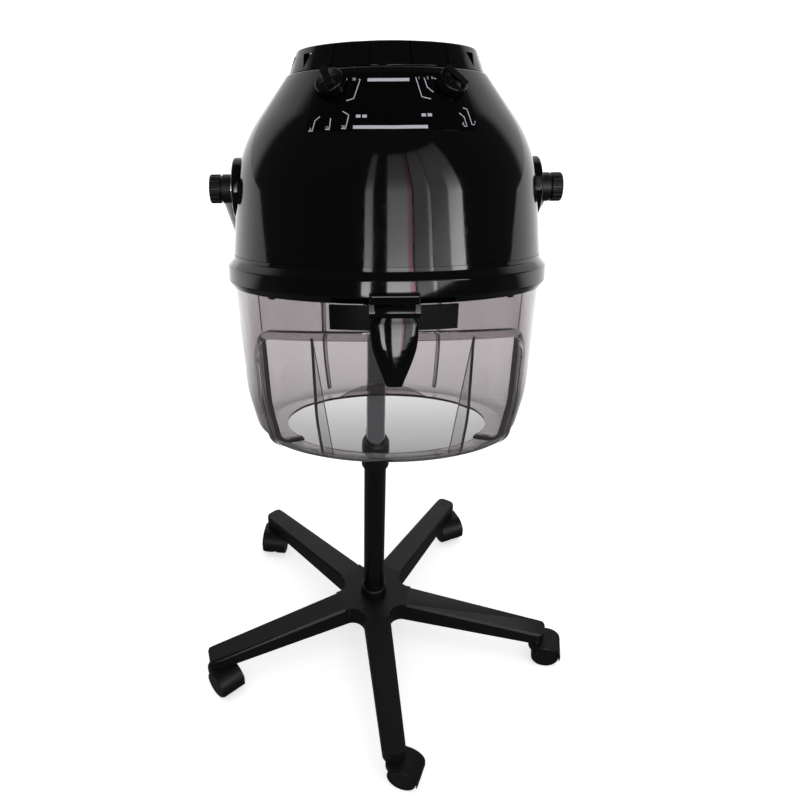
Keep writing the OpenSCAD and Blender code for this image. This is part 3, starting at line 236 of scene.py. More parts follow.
def plated(name, colour, rough, spread, streak_mm):
    """A plated metal: its polish varies between two roughness values over streaks of that size."""
    made, tree = blank(name)
    dull = ranged(tree, noise(tree, streak_mm, 4.0), 0.0, 1.0, rough, rough + spread)
    skin(tree, {"Base Color": srgb(colour), "Metallic": 1.0, "Roughness": dull})
    return made


def smooth(piece, degrees=32.0):
    """Smooth shading that breaks at edges sharper than this."""
    piece.data.shade_smooth()
    piece.data.set_sharp_from_angle(angle=math.radians(degrees))


def fit(piece, body, slot, *cad):
    """Puts a finished piece on its body, in place of the CAD nodes named."""
    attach(piece, body)
    if cad:
        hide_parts(*cad)


def eased(node, body, slot, material, edge_mm, corner=30.0, steps=2, tidy=True):
    """A CAD node's shape with its sharp edges rounded, as a mould or a tumbled casting leaves them."""
    data = nodes[node].data.copy()
    data.name = node + "_eased"
    shape = bmesh.new()
    shape.from_mesh(data)
    bmesh.ops.remove_doubles(shape, verts=shape.verts, dist=2e-6)
    if tidy:
        bmesh.ops.dissolve_limit(shape, angle_limit=math.radians(0.6), verts=shape.verts, edges=shape.edges)
    if edge_mm:
        sharp = [e for e in shape.edges if len(e.link_faces) == 2 and
                 e.calc_face_angle_signed(0.0) > math.radians(corner)]
        bmesh.ops.bevel(shape, geom=sharp, offset=edge_mm / 1000, offset_type="OFFSET", segments=steps,
                        profile=0.5, affect="EDGES", clamp_overlap=True)
    bmesh.ops.triangulate(shape, faces=[f for f in shape.faces if len(f.verts) > 4])
    shape.to_mesh(data)
    shape.free()
    data.materials.clear()
    data.materials.append(material)
    piece = bpy.data.objects.new(node + "_eased", data)
    scene.collection.objects.link(piece)
    smooth(piece)
    even = piece.modifiers.new("even_shading", "WEIGHTED_NORMAL")
    even.keep_sharp = True
    fit(piece, body, slot, node)
    return piece


def dress(material, *names):
    """Gives CAD nodes a finish in place of their plain one."""
    for name in names:
        data = nodes[name].data
        data.materials.clear()
        data.materials.append(material)


nylon = moulded("moulded_black_nylon", "#0f0f10", 0.42, 2.2, 0.12, 0.24)
steel = plated("zinc_plated_steel", "#b4b7ba", 0.22, 0.2, 2.5)
eased("star_base", "base", "matte_black", nylon, 1.8, corner=40.0, steps=3)
eased("hub_collar", "base", "matte_black", nylon, 0.5, tidy=False)
dress(steel, "stem_sockets")

# Casters: twin hubless wheels of hard black nylon under a moulded hood, on a plated stem and a
# plated axle. The hoods are moulded in the same nylon as the base, and the wheels are shinier.
wheel_nylon = moulded("moulded_wheel_nylon", "#101011", 0.34, 3.0, 0.05, 0.28)
for k in range(1, 6):
    eased("caster_%d_housing" % k, "caster_%d" % k, "matte_black", nylon, 0.9)
    eased("caster_%d_wheels" % k, "caster_%d_wheels" % k, "matte_black", wheel_nylon, 0.5)
    dress(steel, "caster_%d_stem" % k, "caster_%d_axle" % k)

# Post: a black powder-coated steel outer tube on the base, with a nylon bush in its mouth, and a
# second tube that slides in it and carries the head.
enamel = moulded("powder_coated_tube", "#0d0d0e", 0.3, 1.6, 0.04, 0.26)
bush_nylon = moulded("grey_bush_nylon", "#3a3c3e", 0.4, 2.0, 0.05)
chrome = plated("polished_chrome_plate", "#d6d8db", 0.04, 0.08, 25.0)
eased("outer_tube", "base", "tube_black", enamel, 0.4)
eased("guide_bush", "base", "control_body", bush_nylon, 0.3)
eased("inner_tube", "mast", "chrome_tube", chrome, 0.3)

# Height clamp: a moulded collar round the top of the outer tube, and a five-lobed hand wheel on a
# plated screw that presses on the inner tube.
eased("clamp_collar", "base", "matte_black", nylon, 0.8)
eased("clamp_knob", "height_clamp", "matte_black", nylon, 1.2)
dress(steel, "clamp_screw")

# Head yoke: one bent steel tube, stove-enamelled silver grey, in a moulded saddle on the post. Its
# flattened ends are held in round nylon knuckles beside the hood.
silver = moulded("silver_grey_lacquer", "#c4c6c9", 0.3, 1.2, 0.02, 0.5)
eased("yoke_socket", "head_yoke", "matte_black", nylon, 1.0)
eased("yoke", "head_yoke", "chrome_tube", silver, 0.6)
for side in ("left", "right"):
    eased("knuckle_" + side, "head_yoke", "matte_black", nylon, 0.7)
    eased("tilt_knob_" + side, "knob_" + side, "matte_black", nylon, 0.5)
dress(steel, "pivot_washers", "pivot_bolts")

# Hood housing: one deep moulding of black ABS, polished to a mirror with a faint ripple, with a
# round pad on each side for the tilt pivot. It is as smooth as a lacquered bowl, with fine scuffs.


def rounded(corners, steps=10):
    """An outline from corners (x, y, radius), each radius drawn in this many steps."""
    points = []
    for i, (x, y, radius) in enumerate(corners):
        here = np.array((x, y), float)
        if not radius:
            points.append(here)
            continue
        back = np.array(corners[i - 1][:2], float) - here
        on = np.array(corners[(i + 1) % len(corners)][:2], float) - here
        back, on = back / np.linalg.norm(back), on / np.linalg.norm(on)
        half = math.acos(max(-1.0, min(1.0, back @ on))) / 2
        middle = here + (back + on) / np.linalg.norm(back + on) * radius / math.sin(half)
        start = here + back * radius / math.tan(half) - middle
        stop = here + on * radius / math.tan(half) - middle
        first = math.atan2(start[1], start[0])
        turn = (math.atan2(stop[1], stop[0]) - first + math.pi) % (2 * math.pi) - math.pi
        for k in range(steps + 1):
            a = first + turn * k / steps
            points.append(middle + radius * np.array((math.cos(a), math.sin(a))))
    return np.array(points)


def close_up(piece):
    """Merges doubled points, drops flat faces and turns every face outwards."""
    shape = bmesh.new()
    shape.from_mesh(piece.data)
    bmesh.ops.remove_doubles(shape, verts=shape.verts, dist=2e-6)
    bmesh.ops.dissolve_degenerate(shape, dist=1e-7, edges=shape.edges)
    bmesh.ops.recalc_face_normals(shape, faces=shape.faces)
    shape.to_mesh(piece.data)
    shape.free()


def turned(name, outline, material, place, steps=192):
    """A closed outline of (radius, height) in mm, turned about the height axis of its place."""
    count = len(outline)
    angles = [2 * math.pi * k / steps for k in range(steps)]
    verts = [place @ Vector((r * math.sin(a), -r * math.cos(a), h)) for a in angles for r, h in outline]
    faces = [(k * count + i, (k + 1) % steps * count + i, (k + 1) % steps * count + (i + 1) % count,
              k * count + (i + 1) % count) for k in range(steps) for i in range(count)]
    made = mesh_object(name, verts, faces, material)
    close_up(made)
    smooth(made)
    return made


def joined(name, pieces):
    """One object from several, with the first one's materials."""
    shape = bmesh.new()
    for piece in pieces:
        shape.from_mesh(piece.data)
    data = bpy.data.meshes.new(name)
    shape.to_mesh(data)
    shape.free()
    for material in pieces[0].data.materials:
        data.materials.append(material)
    for piece in pieces:
        bpy.data.objects.remove(piece)
    made = bpy.data.objects.new(name, data)
    scene.collection.objects.link(made)
    smooth(made)
    return made


# The hood's own place: its drawings are in mm, upright, with the tilt pivots at the origin.
hood_tilt = math.radians(-20.8)
hood_place = Matrix.Translation(pivot) @ Matrix.Rotation(hood_tilt, 4, "X") @ Matrix.Scale(0.001, 4)
gloss, tree = blank("polished_black_abs")
skin(tree, {"Base Color": srgb("#060606"), "Specular IOR Level": 0.22,
            "Roughness": ranged(tree, noise(tree, 8.0, 5.0), 0.35, 0.75, 0.05, 0.11),
            "Normal": raised(tree, noise(tree, 45.0, 1.0), 0.04, 0.004)})

hood_line = rounded([(161.8, -66, 0), (153.8, 38.8, 140), (102.5, 110.5, 4), (90.5, 110.5, 0)], 24)
hood_inner = rounded([(158.8, -66, 0), (150.8, 38.0, 137), (100.6, 107.5, 2), (90.5, 107.5, 0)], 24)
shell = turned("housing_shell", np.vstack([hood_line, hood_inner[::-1]]), gloss, hood_place, 256)
pads = [turned("ear_pad", rounded([(0, 150, 0), (32, 150, 0), (32, 160, 3.2), (0, 160, 0)], 6), gloss,
               hood_place @ Matrix.Rotation(math.radians(side * 90), 4, "Y"), 96) for side in (-1, 1)]
fit(joined("housing", [shell] + pads), "hood", "housing_black", "outer_housing")

# Rim band: a second glossy moulding round the housing's foot, bulging and then drawn in over the
# bowl's top edge. A hairline seam parts it from the housing.
rim_line = rounded([
    (151.6, -56.5, 0), (157.0, -56.5, 0), (157.0, -66.3, 0), (162.1, -66.3, 0), (162.3, -70.3, 1.5),
    (168.5, -77.3, 2.5), (168.5, -92.6, 2.5), (164.2, -98.8, 0.7), (162.5, -98.8, 0), (162.5, -79.9, 0),
    (151.6, -79.9, 0)])
fit(turned("rim_band_moulding", rim_line, gloss, hood_place, 256), "hood", "housing_black", "rim_band")

# Crown: a louvred ring clipped on the housing's top, and the ribbed grille that drops into it, both
# moulded in the housing's polished black ABS.
eased("crown_vent", "hood", "housing_black", gloss, 0.5)
eased("top_grille", "hood", "housing_black", gloss, 0.6)

# Control panel: a thin black printed film on the front of the cone. Its guide lines and numbers are
# screen-printed in white ink, which stands a tenth of a millimetre proud.


# The housing's outline up to the rounding under the crown
flank = hood_line[:-12]


def flank_radius(h):
    """The housing's radius at this height, in mm."""
    return np.interp(h, flank[:, 1], flank[:, 0])


def on_hood(x, h, lift):
    """The point on the housing's front at sideways place x and height h, lifted off the skin, in mm."""
    slope = (flank_radius(h + 1) - flank_radius(h - 1)) / 2
    across = 1 / math.hypot(1, slope)
    r, h = flank_radius(h) + lift * across, h - lift * across * slope
    return Vector((x, -math.sqrt(r * r - x * x), h))


def walled(name, front, back, faces, material, edge=None):
    """
    One closed sheet from two matching skins, with points in mm in the hood's place: a wall, of its
    own material if there is one, runs along every open edge.
    """
    count = len(front)
    used = {(a, b): True for face in faces for a, b in zip(face, face[1:] + face[:1])}
    rims = [(b, a, a + count, b + count) for a, b in used if (b, a) not in used]
    closed = list(faces) + [tuple(i + count for i in reversed(face)) for face in faces] + rims
    made = mesh_object(name, [hood_place @ point for point in [*front, *back]], closed, material)
    made.data.materials.append(edge or material)
    for face in made.data.polygons[-len(rims):]:
        face.material_index = 1
    close_up(made)
    smooth(made, 40)
    return made


def grid_faces(rows, columns):
    """Faces of a grid of points stored row by row."""
    return [(i * columns + j, i * columns + j + 1, (i + 1) * columns + j + 1, (i + 1) * columns + j)
            for i in range(rows - 1) for j in range(columns - 1)]


film = moulded("screen_printed_film", "#050506", 0.14, 1.4, 0.01, 0.1)
film_top, film_foot, film_tall, film_corner = 104.2, 52.8, 51.4, 6
rows, columns = 33, 41
points = []
for i in range(rows):
    h = film_top - film_tall * (0.5 - 0.5 * math.cos(math.pi * i / (rows - 1)))
    inward = film_corner - min(film_top - h, h - film_foot)
    half_width = 66.5 + 13.0 * (film_top - h) / film_tall
    if inward > 0:
        half_width -= film_corner - math.sqrt(film_corner ** 2 - inward ** 2)
    points += [(half_width * (2 * j / (columns - 1) - 1), h) for j in range(columns)]
plate = walled("control_film", [on_hood(x, h, 0.6) for x, h in points],
               [on_hood(x, h, -1.0) for x, h in points], grid_faces(rows, columns), film)
fit(plate, "hood", "panel_film", "control_panel")

ink, tree = blank("white_screen_ink")
skin(tree, {"Base Color": between(tree, noise(tree, 1.5, 2.0), srgb("#a9a9b2"), srgb("#d6d6de")),
            "Roughness": 0.55})


def stroke(path, width):
    """A printed line of this width through points (x, h)."""
    fine = [Vector(path[0])]
    for a, b in zip(path, path[1:]):
        a, b = Vector(a), Vector(b)
        parts = max(1, math.ceil((b - a).length / 4))
        fine += [a.lerp(b, k / parts) for k in range(1, parts + 1)]
    sides = []
    for i, here in enumerate(fine):
        way = (fine[min(i + 1, len(fine) - 1)] - fine[max(i - 1, 0)]).normalized() * width / 2
        sides += [(here.x - way.y, here.y + way.x), (here.x + way.y, here.y - way.x)]
    return sides, [(2 * i, 2 * i + 1, 2 * i + 3, 2 * i + 2) for i in range(len(fine) - 1)]


def plain_mesh(holder):
    """The mesh that an object's text or nodes make. The object itself goes."""
    bpy.context.view_layer.update()
    data = bpy.data.meshes.new_from_object(holder.evaluated_get(bpy.context.evaluated_depsgraph_get()))
    bpy.data.objects.remove(holder)
    return data


def inked(name, spots, faces):
    """White ink over flat faces with corners (x, h), from under the film's face to just above it."""
    return walled(name, [on_hood(x, h, 0.72) for x, h in spots], [on_hood(x, h, 0.3) for x, h in spots],
                  faces, ink)


# The printing, as points (x, h): two thick bars, hairlines round the dials, and short dashes
bars = [[(-21.9, 97.2), (0, 97.0), (16.0, 97.2)], [(-35.6, 55.3), (0, 54.9), (31.0, 55.3)]]
hairs = [[(-41.6, 99.4), (-40.3, 98.8), (-45.4, 87.5)],
         [(-29.8, 98.2), (-28.6, 97.5), (-34.5, 80.7), (-41.3, 78.7)],
         [(-65.4, 65.3), (-70.0, 61.4), (-72.3, 52.6), (-76, 52.9)],
         [(-55.5, 63.5), (-56.8, 53.6), (-60.5, 53.8)],
         [(-44.7, 69.4), (-39.2, 66.0), (-42.2, 54.0), (-46, 54.3)],
         [(21.9, 99.4), (26.7, 81.7), (35.0, 79.9)],
         [(29.6, 99.2), (32.2, 90.4), (37.7, 86.0)], [(38.4, 99.0), (41.2, 98.3), (42.9, 93.0)],
         [(60.9, 67.7), (65.4, 64.1), (67.7, 56.1), (64.6, 56.1)],
         [(64.9, 72.8), (68.9, 71.1), (72.7, 57.6), (75.4, 57.6)]]
dashes = [[(x - 2.0, h), (x + 2.0, h)] for x, h in ((-30.8, 64.8), (-25.2, 64.7), (27.6, 65.5), (33.1, 65.6))]
printed = [inked("guide_line", *stroke(path, width))
           for paths, width in ((bars, 2.9), (hairs, 0.8), (dashes, 2.6)) for path in paths]
# The dials' numbers, each with its middle
labels = [("0", -74.0, 55.3), ("10", -59.0, 56.4), ("20", -44.4, 56.8), ("30", -34.0, 99.3),
          ("40", -45.5, 99.6), ("50", -56.0, 99.6), ("60", -65.6, 99.4), ("1", 25.0, 100.0),
          ("2", 33.0, 100.2), ("3", 37.0, 100.4), ("4", 47.6, 100.2), ("5", 55.0, 100.4),
          ("6", 62.2, 100.0), ("7", 75.8, 60.6), ("8", 64.0, 59.2)]
for words, x, h in labels:
    text = bpy.data.curves.new("number", "FONT")
    text.body, text.size, text.align_x, text.align_y = words, 3.6, "CENTER", "CENTER"
    holder = bpy.data.objects.new("number", text)
    scene.collection.objects.link(holder)
    flat = plain_mesh(holder)
    printed.append(inked("number_ink", [(x + v.co.x, h - 1.2 + v.co.y) for v in flat.vertices],
                         [tuple(p.vertices) for p in flat.polygons]))
fit(joined("panel_printing", printed), "hood", "panel_film")

# Dials: two turned-look knobs of satin black ABS with a grip bar across, on the control spindles.
# Behind the panel are the clockwork timer and the thermostat in their moulded cases.
satin = moulded("satin_black_abs", "#070708", 0.24, 1.2, 0.02, 0.16)
eased("timer_dial", "timer_dial", "matte_black", satin, 0.8)
eased("temperature_dial", "temperature_dial", "matte_black", satin, 0.8)
case = moulded("cream_phenolic_case", "#cfc9b8", 0.5, 1.6, 0.05)
dress(case, "timer", "thermostat")

# Blower and heater: a shaded-pole motor on a steel bracket, an off-white fan, mica boards with the
# heating wire wound on them, and the perforated aluminium plate that spreads the air.
sheet = plated("anodised_aluminium", "#c3c5c8", 0.34, 0.14, 5.0)
fan_plastic = moulded("white_polypropylene", "#dedbd0", 0.45, 2.4, 0.05)
mica, tree = blank("pressed_mica_board")
place = add(tree, "ShaderNodeTexCoord")
flakes = add(tree, "ShaderNodeTexVoronoi", {"Vector": place.outputs["Object"], "Scale": 1000 / 3.0})
skin(tree, {"Base Color": between(tree, flakes.outputs["Distance"], srgb("#a8875a"), srgb("#d9c193")),
            "Roughness": 0.4})
dress(steel, "motor", "motor_bracket", "motor_shaft")
dress(fan_plastic, "fan_impeller")
dress(mica, "heater_boards")
eased("air_distributor", "hood", "air_plate", sheet, 0.0)

# Cord gland: a moulded black nylon bush through the back of the housing, where the mains cord would
# leave. The photograph shows no cord, so none is drawn.
eased("cord_gland", "hood", "matte_black", nylon, 0.5)

# Clear bowl: a moulded drum of smoke-tinted polycarbonate hung in the rim band, open at the front,
# with a flat floor round the neck opening, two upright ribs and an arched lip at the back.


def tinted(name, colour):
    """Clear smoke-tinted plastic: faint moulding waves, wiping haze, and darker where it is deep."""
    made, tree = blank(name)
    soak = add(tree, "ShaderNodeVolumeAbsorption", {"Color": srgb("#8f878b"), "Density": 42.0})
    skin(tree, {"Base Color": srgb(colour), "IOR": clear_ior, "Transmission Weight": 1.0,
                "Roughness": ranged(tree, noise(tree, 5.0, 4.0), 0.4, 0.8, 0.01, 0.035),
                "Normal": raised(tree, noise(tree, 35.0, 1.0), 0.08, 0.003)}, soak.outputs[0])
    return made


clear_ior = 1.49
bowl_smoke = tinted("smoke_polycarbonate_bowl", "#cbc6c8")
smoke = tinted("smoke_polycarbonate_visor", "#f2f0f1")
# The walls along the clear sheets' open edges take this darker, less clear finish: painted shade for the dark
# lines that light bending through the edges draws round the mouth, the fins and the visor.
painted_dark_edge, tree = blank("smoke_polycarbonate_painted_dark_edge")
skin(tree, {"Base Color": srgb("#5d585b"), "IOR": clear_ior, "Transmission Weight": 0.85,
            "Roughness": ranged(tree, noise(tree, 2.0, 3.0), 0.0, 1.0, 0.12, 0.3)})

# In mm in the hood's place: the radii of the neck opening and of the bowl's top, the wall, the height
# of the foot, and how far down the front the opening and the visor start
neck_r, bowl_r, bowl_wall, bowl_foot = 111, 162.2, 2.8, -257
opening_drop, visor_drop = 133, 124
opening_half, rib_turn, lean = math.radians(53), math.radians(28), math.tan(math.radians(8))
arc_steps = 16
bowl_line = rounded([(neck_r, bowl_foot, 0), (141.5, bowl_foot, 15), (153.6, -212, 140),
                     (bowl_r, -98.8, 15), (bowl_r, -80.25, 0)], arc_steps)
along = np.concatenate([[0], np.cumsum(np.linalg.norm(np.diff(bowl_line, axis=0), axis=1))])
full = along[-1]


def bowl_outline(s):
    """The bowl's radius and height at this length along its outline."""
    return np.array([np.interp(s, along, bowl_line[:, i]) for i in (0, 1)])


def bowl_point(angle, s, off):
    """A point at this turn from the front and length along the bowl's outline, off its skin, in mm."""
    (r, h), (dr, dh) = bowl_outline(s), bowl_outline(s + 0.5) - bowl_outline(s - 0.5)
    size = math.hypot(dr, dh)
    r, h = r + off * dh / size, h - off * dr / size
    return Vector((r * math.sin(angle), -r * math.cos(angle), h))


def height_to_length(h):
    """The length along the bowl's outline at which it reaches this height, in mm."""
    above_foot = 1 + arc_steps
    return np.interp(h, bowl_line[above_foot:, 1], along[above_foot:])


def opening_top(angle, drop):
    """The length along the outline of a leaning top edge that starts this far down at the front."""
    return height_to_length(-drop - bowl_r * (1 - math.cos(angle)) * lean)


def skins(name, columns, off_out, off_in, material):
    """A sheet between two distances from the bowl's skin: each column is an angle and its lengths."""
    front = [bowl_point(a, s, off_out(a, s)) for a, lengths in columns for s in lengths]
    back = [bowl_point(a, s, off_in) for a, lengths in columns for s in lengths]
    return walled(name, front, back, grid_faces(len(columns), len(columns[0][1])), material, painted_dark_edge)


def span(start, stop, parts):
    """Evenly spaced values from start to stop."""
    return [start + (stop - start) * t / parts for t in range(parts + 1)]


columns = [(a, span(0, full, 64)) for a in span(opening_half, 2 * math.pi - opening_half, 240)]
parts = [skins("bowl_back", columns, lambda a, s: 0.0, -bowl_wall, bowl_smoke)]
columns = [(a, span(opening_top(a, opening_drop), full, 20)) for a in span(-opening_half, opening_half, 64)]
parts.append(skins("bowl_front", columns, lambda a, s: 0.0, -bowl_wall, bowl_smoke))
for side in (-1, 1):
    columns = [(math.pi + side * (rib_turn + a), span(32, 150, 40)) for a in span(0, math.radians(1.3), 2)]
    parts.append(skins("rear_rib", columns, lambda a, s: -2.7, -8.8, bowl_smoke))
    high = opening_top(opening_half, opening_drop)
    columns = [(side * (opening_half + a), span(2, high, 50)) for a in span(0, math.radians(2.6), 4)]
    parts.append(skins("edge_rib", columns, lambda a, s: -2.7, -5.04, bowl_smoke))
# The lip's top is an arc that rises this far over the chord between the rear ribs
arch_half, arch_rise, lip_tall, lip_foot, lip_low = neck_r * math.sin(rib_turn) - 1.4, 13, 15.8, -255.6, -254
arch_r = (arch_half ** 2 + arch_rise ** 2) / (2 * arch_rise)
front, back = [], []
for k in range(49):
    a = math.pi + rib_turn * (k / 24 - 1)
    top = bowl_foot + lip_tall - arch_r + math.sqrt(max(arch_r ** 2 - (neck_r * math.sin(a)) ** 2, 0))
    for h in span(lip_foot, max(top, lip_low), 8):
        for r, points in ((neck_r + bowl_wall, front), (neck_r, back)):
            points.append(Vector((r * math.sin(a), -r * math.cos(a), h)))
parts.append(walled("arched_lip", front, back, grid_faces(49, 9), bowl_smoke, painted_dark_edge))
fit(joined("clear_bowl_drum", parts), "hood", "smoke_clear", "clear_bowl")

# Flip visor: a curved sheet of the same smoke polycarbonate over the bowl's open front. It has
# rounded corners, a raised border on its sides and top, and two blade-like finger fins inside.
visor_half, round_r, face_off, inner_off = math.radians(58), 32.0, 3.17, 0.6
across = visor_half * bowl_r
edge_round, edge_fall = 1.6, 1.2


def inside_visor(angle, s):
    """How far a spot lies inside the visor's rounded outline, in mm."""
    x, y = abs(angle) * bowl_r - (across - round_r), s - (opening_top(angle, visor_drop) - round_r)
    return round_r - math.hypot(max(x, 0), max(y, 0)) - min(max(x, y), 0)


def visor_face(angle, s):
    """The visor's outer face, with a round edge."""
    edge = min(max(inside_visor(angle, s), 0.0), edge_round)
    return face_off - edge_fall * (1 - math.sin(math.pi / 2 * edge / edge_round))


columns = []
for k in range(181):
    share = 2 * k / 180 - 1
    a = visor_half * (share + 0.12 * math.sin(math.pi * share) / math.pi)
    inward = across - abs(a) * bowl_r
    drop = round_r - math.sqrt(round_r ** 2 - (round_r - inward) ** 2) if inward < round_r else 0
    top = opening_top(a, visor_drop) - drop
    columns.append((a, [top * math.sin(math.pi / 2 * t / 84) for t in range(85)]))
sheet_parts = [skins("visor_sheet", columns, visor_face, inner_off, smoke)]
for side in (-1, 1):
    turn = Matrix.Rotation(side * rib_turn, 4, "Z")
    outline = [bowl_point(0, s, 1.6) for s in np.linspace(13.5, height_to_length(-opening_drop), 60)]
    chord = [outline[0].lerp(outline[-1], t / 59) for t in range(60)]
    front, back = ([turn @ (p + Vector((x, 0, 0))) for pair in zip(outline, chord) for p in pair]
                   for x in (1.5, -1.5))
    sheet_parts.append(walled("finger_fin", front, back, grid_faces(60, 2), smoke, painted_dark_edge))


def rim_spot(step, inward):
    """A spot on the border, as angle and length, this far inside the visor's outline."""
    side = 1 if step < 1.5 else -1
    t = step if side > 0 else 3.0 - step
    corner = opening_top((across - round_r) / bowl_r, visor_drop) - round_r
    if t < 0.7:
        x, s = across - inward, corner * t / 0.7
    elif t < 1.1:
        turn = math.pi / 2 * (t - 0.7) / 0.4
        x = across - round_r + (round_r - inward) * math.cos(turn)
        s = opening_top(x / bowl_r, visor_drop) - round_r + (round_r - inward) * math.sin(turn)
    else:
        x = (across - round_r) * (1.5 - t) / 0.4
        s = opening_top(x / bowl_r, visor_drop) - inward
    return side * x / bowl_r, s


# The border's section: how far inside the outline, and how far off the bowl's skin
section = [(0.05, 2.9), (0.2, 3.7), (0.6, 4.2), (1.2, 4.3), (4.5, 4.3), (7.8, 4.3), (8.4, 4.2),
           (8.8, 3.7), (8.95, 2.9)]
front, back = [], []
for k in range(301):
    for inward, off in section:
        a, s = rim_spot(3.0 * k / 300, inward)
        front.append(bowl_point(a, s, off))
        back.append(bowl_point(a, s, 2.3))
sheet_parts.append(walled("raised_border", front, back, grid_faces(301, len(section)), smoke, painted_dark_edge))
fit(joined("visor_window", sheet_parts), "visor", "smoke_clear", "flip_visor")

# Visor handle: a black tongue with a domed face and a creased tip, moulded in glossy ABS and riveted
# through a curved satin plate on the visor. A barrel on its back turns on the hinge pin.
pin_h, handle_in = -104.3, 169.7
pin_away = handle_in + 5.5
# Down from the pin: how far, the face's height over the plate, half the width
profile = np.array([
    (0, 5.3, 18.06), (2, 5.3, 18.06), (5, 5.4, 18.06), (8, 5.7, 19.8), (11, 6.1, 21.4), (15, 6.5, 21.5),
    (22, 7.0, 21.4), (28, 7.3, 21.0), (34, 7.6, 20.0), (40, 7.8, 18.3), (46, 7.9, 16.2), (52.2, 7.9, 13.9),
    (53.2, 7.7, 13.5), (58, 6.2, 11.6), (63, 4.6, 9.6), (66.5, 3.4, 8.4), (69, 2.4, 7.4), (70, 1.4, 6.0)])
front, back = [], []
for down in range(71):
    thick, w = (np.interp(down, profile[:, 0], profile[:, i]) for i in (1, 2))
    for k in range(25):
        share = math.sin((2 * k / 24 - 1) * math.pi / 2)
        bulge = thick * (1 - 0.5 * share ** 2) * (1 - max(abs(share) - 0.93, 0) * 4)
        front.append(Vector((w * share, -(handle_in + bulge), pin_h - down)))
        back.append(Vector((w * share, -(handle_in + 0.1), pin_h - down)))
handle_parts = [walled("tongue", front, back, grid_faces(71, 25), gloss)]
barrel = rounded([(2.1, -18.06, 0), (5.5, -18.06, 0.5), (5.5, 18.06, 0.5), (2.1, 18.06, 0)], 4)
on_pin = hood_place @ Matrix.Translation((0, -pin_away, pin_h)) @ Matrix.Rotation(math.radians(90), 4, "Y")
handle_parts.append(turned("barrel", barrel, gloss, on_pin, 64))
fit(joined("tongue_handle", handle_parts), "visor", "housing_black", "visor_handle")
eased("handle_plate", "visor", "matte_black", satin, 0.6)

# Hinge frame: a shallow glossy moulding screwed under the rim band, with a cheek at each end. Its
# plated steel pin passes through both cheeks and carries the handle.
frame_foot, frame_head, frame_half, lip_r = -98.2, -88.3, 23.0, 2.0
front, back = [], []
for h in span(frame_foot, frame_head, 16):
    for x in span(-frame_half, frame_half, 32):
        edge = min(frame_half - abs(x), h - frame_foot, frame_head - h, lip_r)
        fall = lip_r - (h - frame_head) * 0.1 - math.sqrt(max(lip_r ** 2 - (lip_r - edge) ** 2, 0))
        front.append(Vector((x, fall - 177.9, h)))
        back.append(Vector((x, -math.sqrt(168.9 ** 2 - x * x), h)))
frame_parts = [walled("hinge_frame", front, back, grid_faces(17, 33), gloss)]
lug = rounded([(-170.6, -97.0, 0), (-178.4, -97.0, 0), (-180.7, -109.8, 5.2), (-169.9, -109.8, 5.2)], 8)
for side in (-1, 1):
    verts = [hood_place @ Vector((side * x, b, h)) for x in (18.5, 22.9) for b, h in lug]
    count = len(lug)
    faces = [(i, (i + 1) % count, (i + 1) % count + count, i + count) for i in range(count)]
    faces += [tuple(range(count)), tuple(range(count, 2 * count))]
    cheek = mesh_object("hinge_cheek", verts, faces, gloss)
    close_up(cheek)
    frame_parts.append(cheek)
fit(joined("hinge_frame_casting", frame_parts), "hood", "housing_black", "hinge_bracket")
dress(steel, "hinge_pin")

# Ear screws: zinc-plated pan heads with a cross recess hold the pivot plates inside the ear pads.
# One head is drawn and Geometry Nodes repeats it.
size, turns, head_r, head_tall, foot, cross_long, cross_half = 33, 48, 3.0, 1.1, -0.0012, 1.7, 0.42
verts, faces = [], []
for i in range(size):
    r = head_r * i / (size - 1)
    dome = head_tall * math.sqrt(1 - (r / 3.05) ** 4)
    for k in range(turns):
        x, y = r * math.cos(2 * math.pi * k / turns), r * math.sin(2 * math.pi * k / turns)
        near, far = sorted((abs(x), abs(y)))
        recess = 1 - 0.3 * r if far < cross_long and near < cross_half else 0
        verts.append((x / 1000, y / 1000, (dome - recess) / 1000))
verts += [(x, y, foot) for x, y, z in verts[-turns:]]
for i in range(size):
    faces += [(i * turns + k, i * turns + (k + 1) % turns, (i + 1) * turns + (k + 1) % turns,
               (i + 1) * turns + k) for k in range(turns)]
faces.append(tuple(range(size * turns, size * turns + turns)))
screw_head = mesh_object("screw_head", verts, faces, steel)
close_up(screw_head)
smooth(screw_head)

ring_of = bpy.data.node_groups.new("repeat_round_a_circle", "GeometryNodeTree")
for label, kind in (("Count", "NodeSocketInt"), ("Radius", "NodeSocketFloat"), ("Piece", "NodeSocketObject")):
    ring_of.interface.new_socket(label, in_out="INPUT", socket_type=kind)
ring_of.interface.new_socket("Geometry", in_out="OUTPUT", socket_type="NodeSocketGeometry")
given = add(ring_of, "NodeGroupInput").outputs
circle = add(ring_of, "GeometryNodeMeshCircle", {"Vertices": given["Count"], "Radius": given["Radius"]})
drawn = add(ring_of, "GeometryNodeObjectInfo", {"Object": given["Piece"]})
spot = add(ring_of, "GeometryNodeInputIndex")
turn = add(ring_of, "ShaderNodeMath", {0: spot.outputs[0], 1: given["Count"]}, operation="DIVIDE")
turn = add(ring_of, "ShaderNodeMath", {0: turn.outputs[0], 1: 2 * math.pi}, operation="MULTIPLY")
spin = add(ring_of, "ShaderNodeCombineXYZ", {"Z": turn.outputs[0]})
spread = add(ring_of, "GeometryNodeInstanceOnPoints", {
    "Points": circle.outputs[0], "Instance": drawn.outputs["Geometry"], "Rotation": spin.outputs[0]})
solid = add(ring_of, "GeometryNodeRealizeInstances", {0: spread.outputs[0]})
add(ring_of, "NodeGroupOutput", {0: solid.outputs[0]}).is_active_output = True


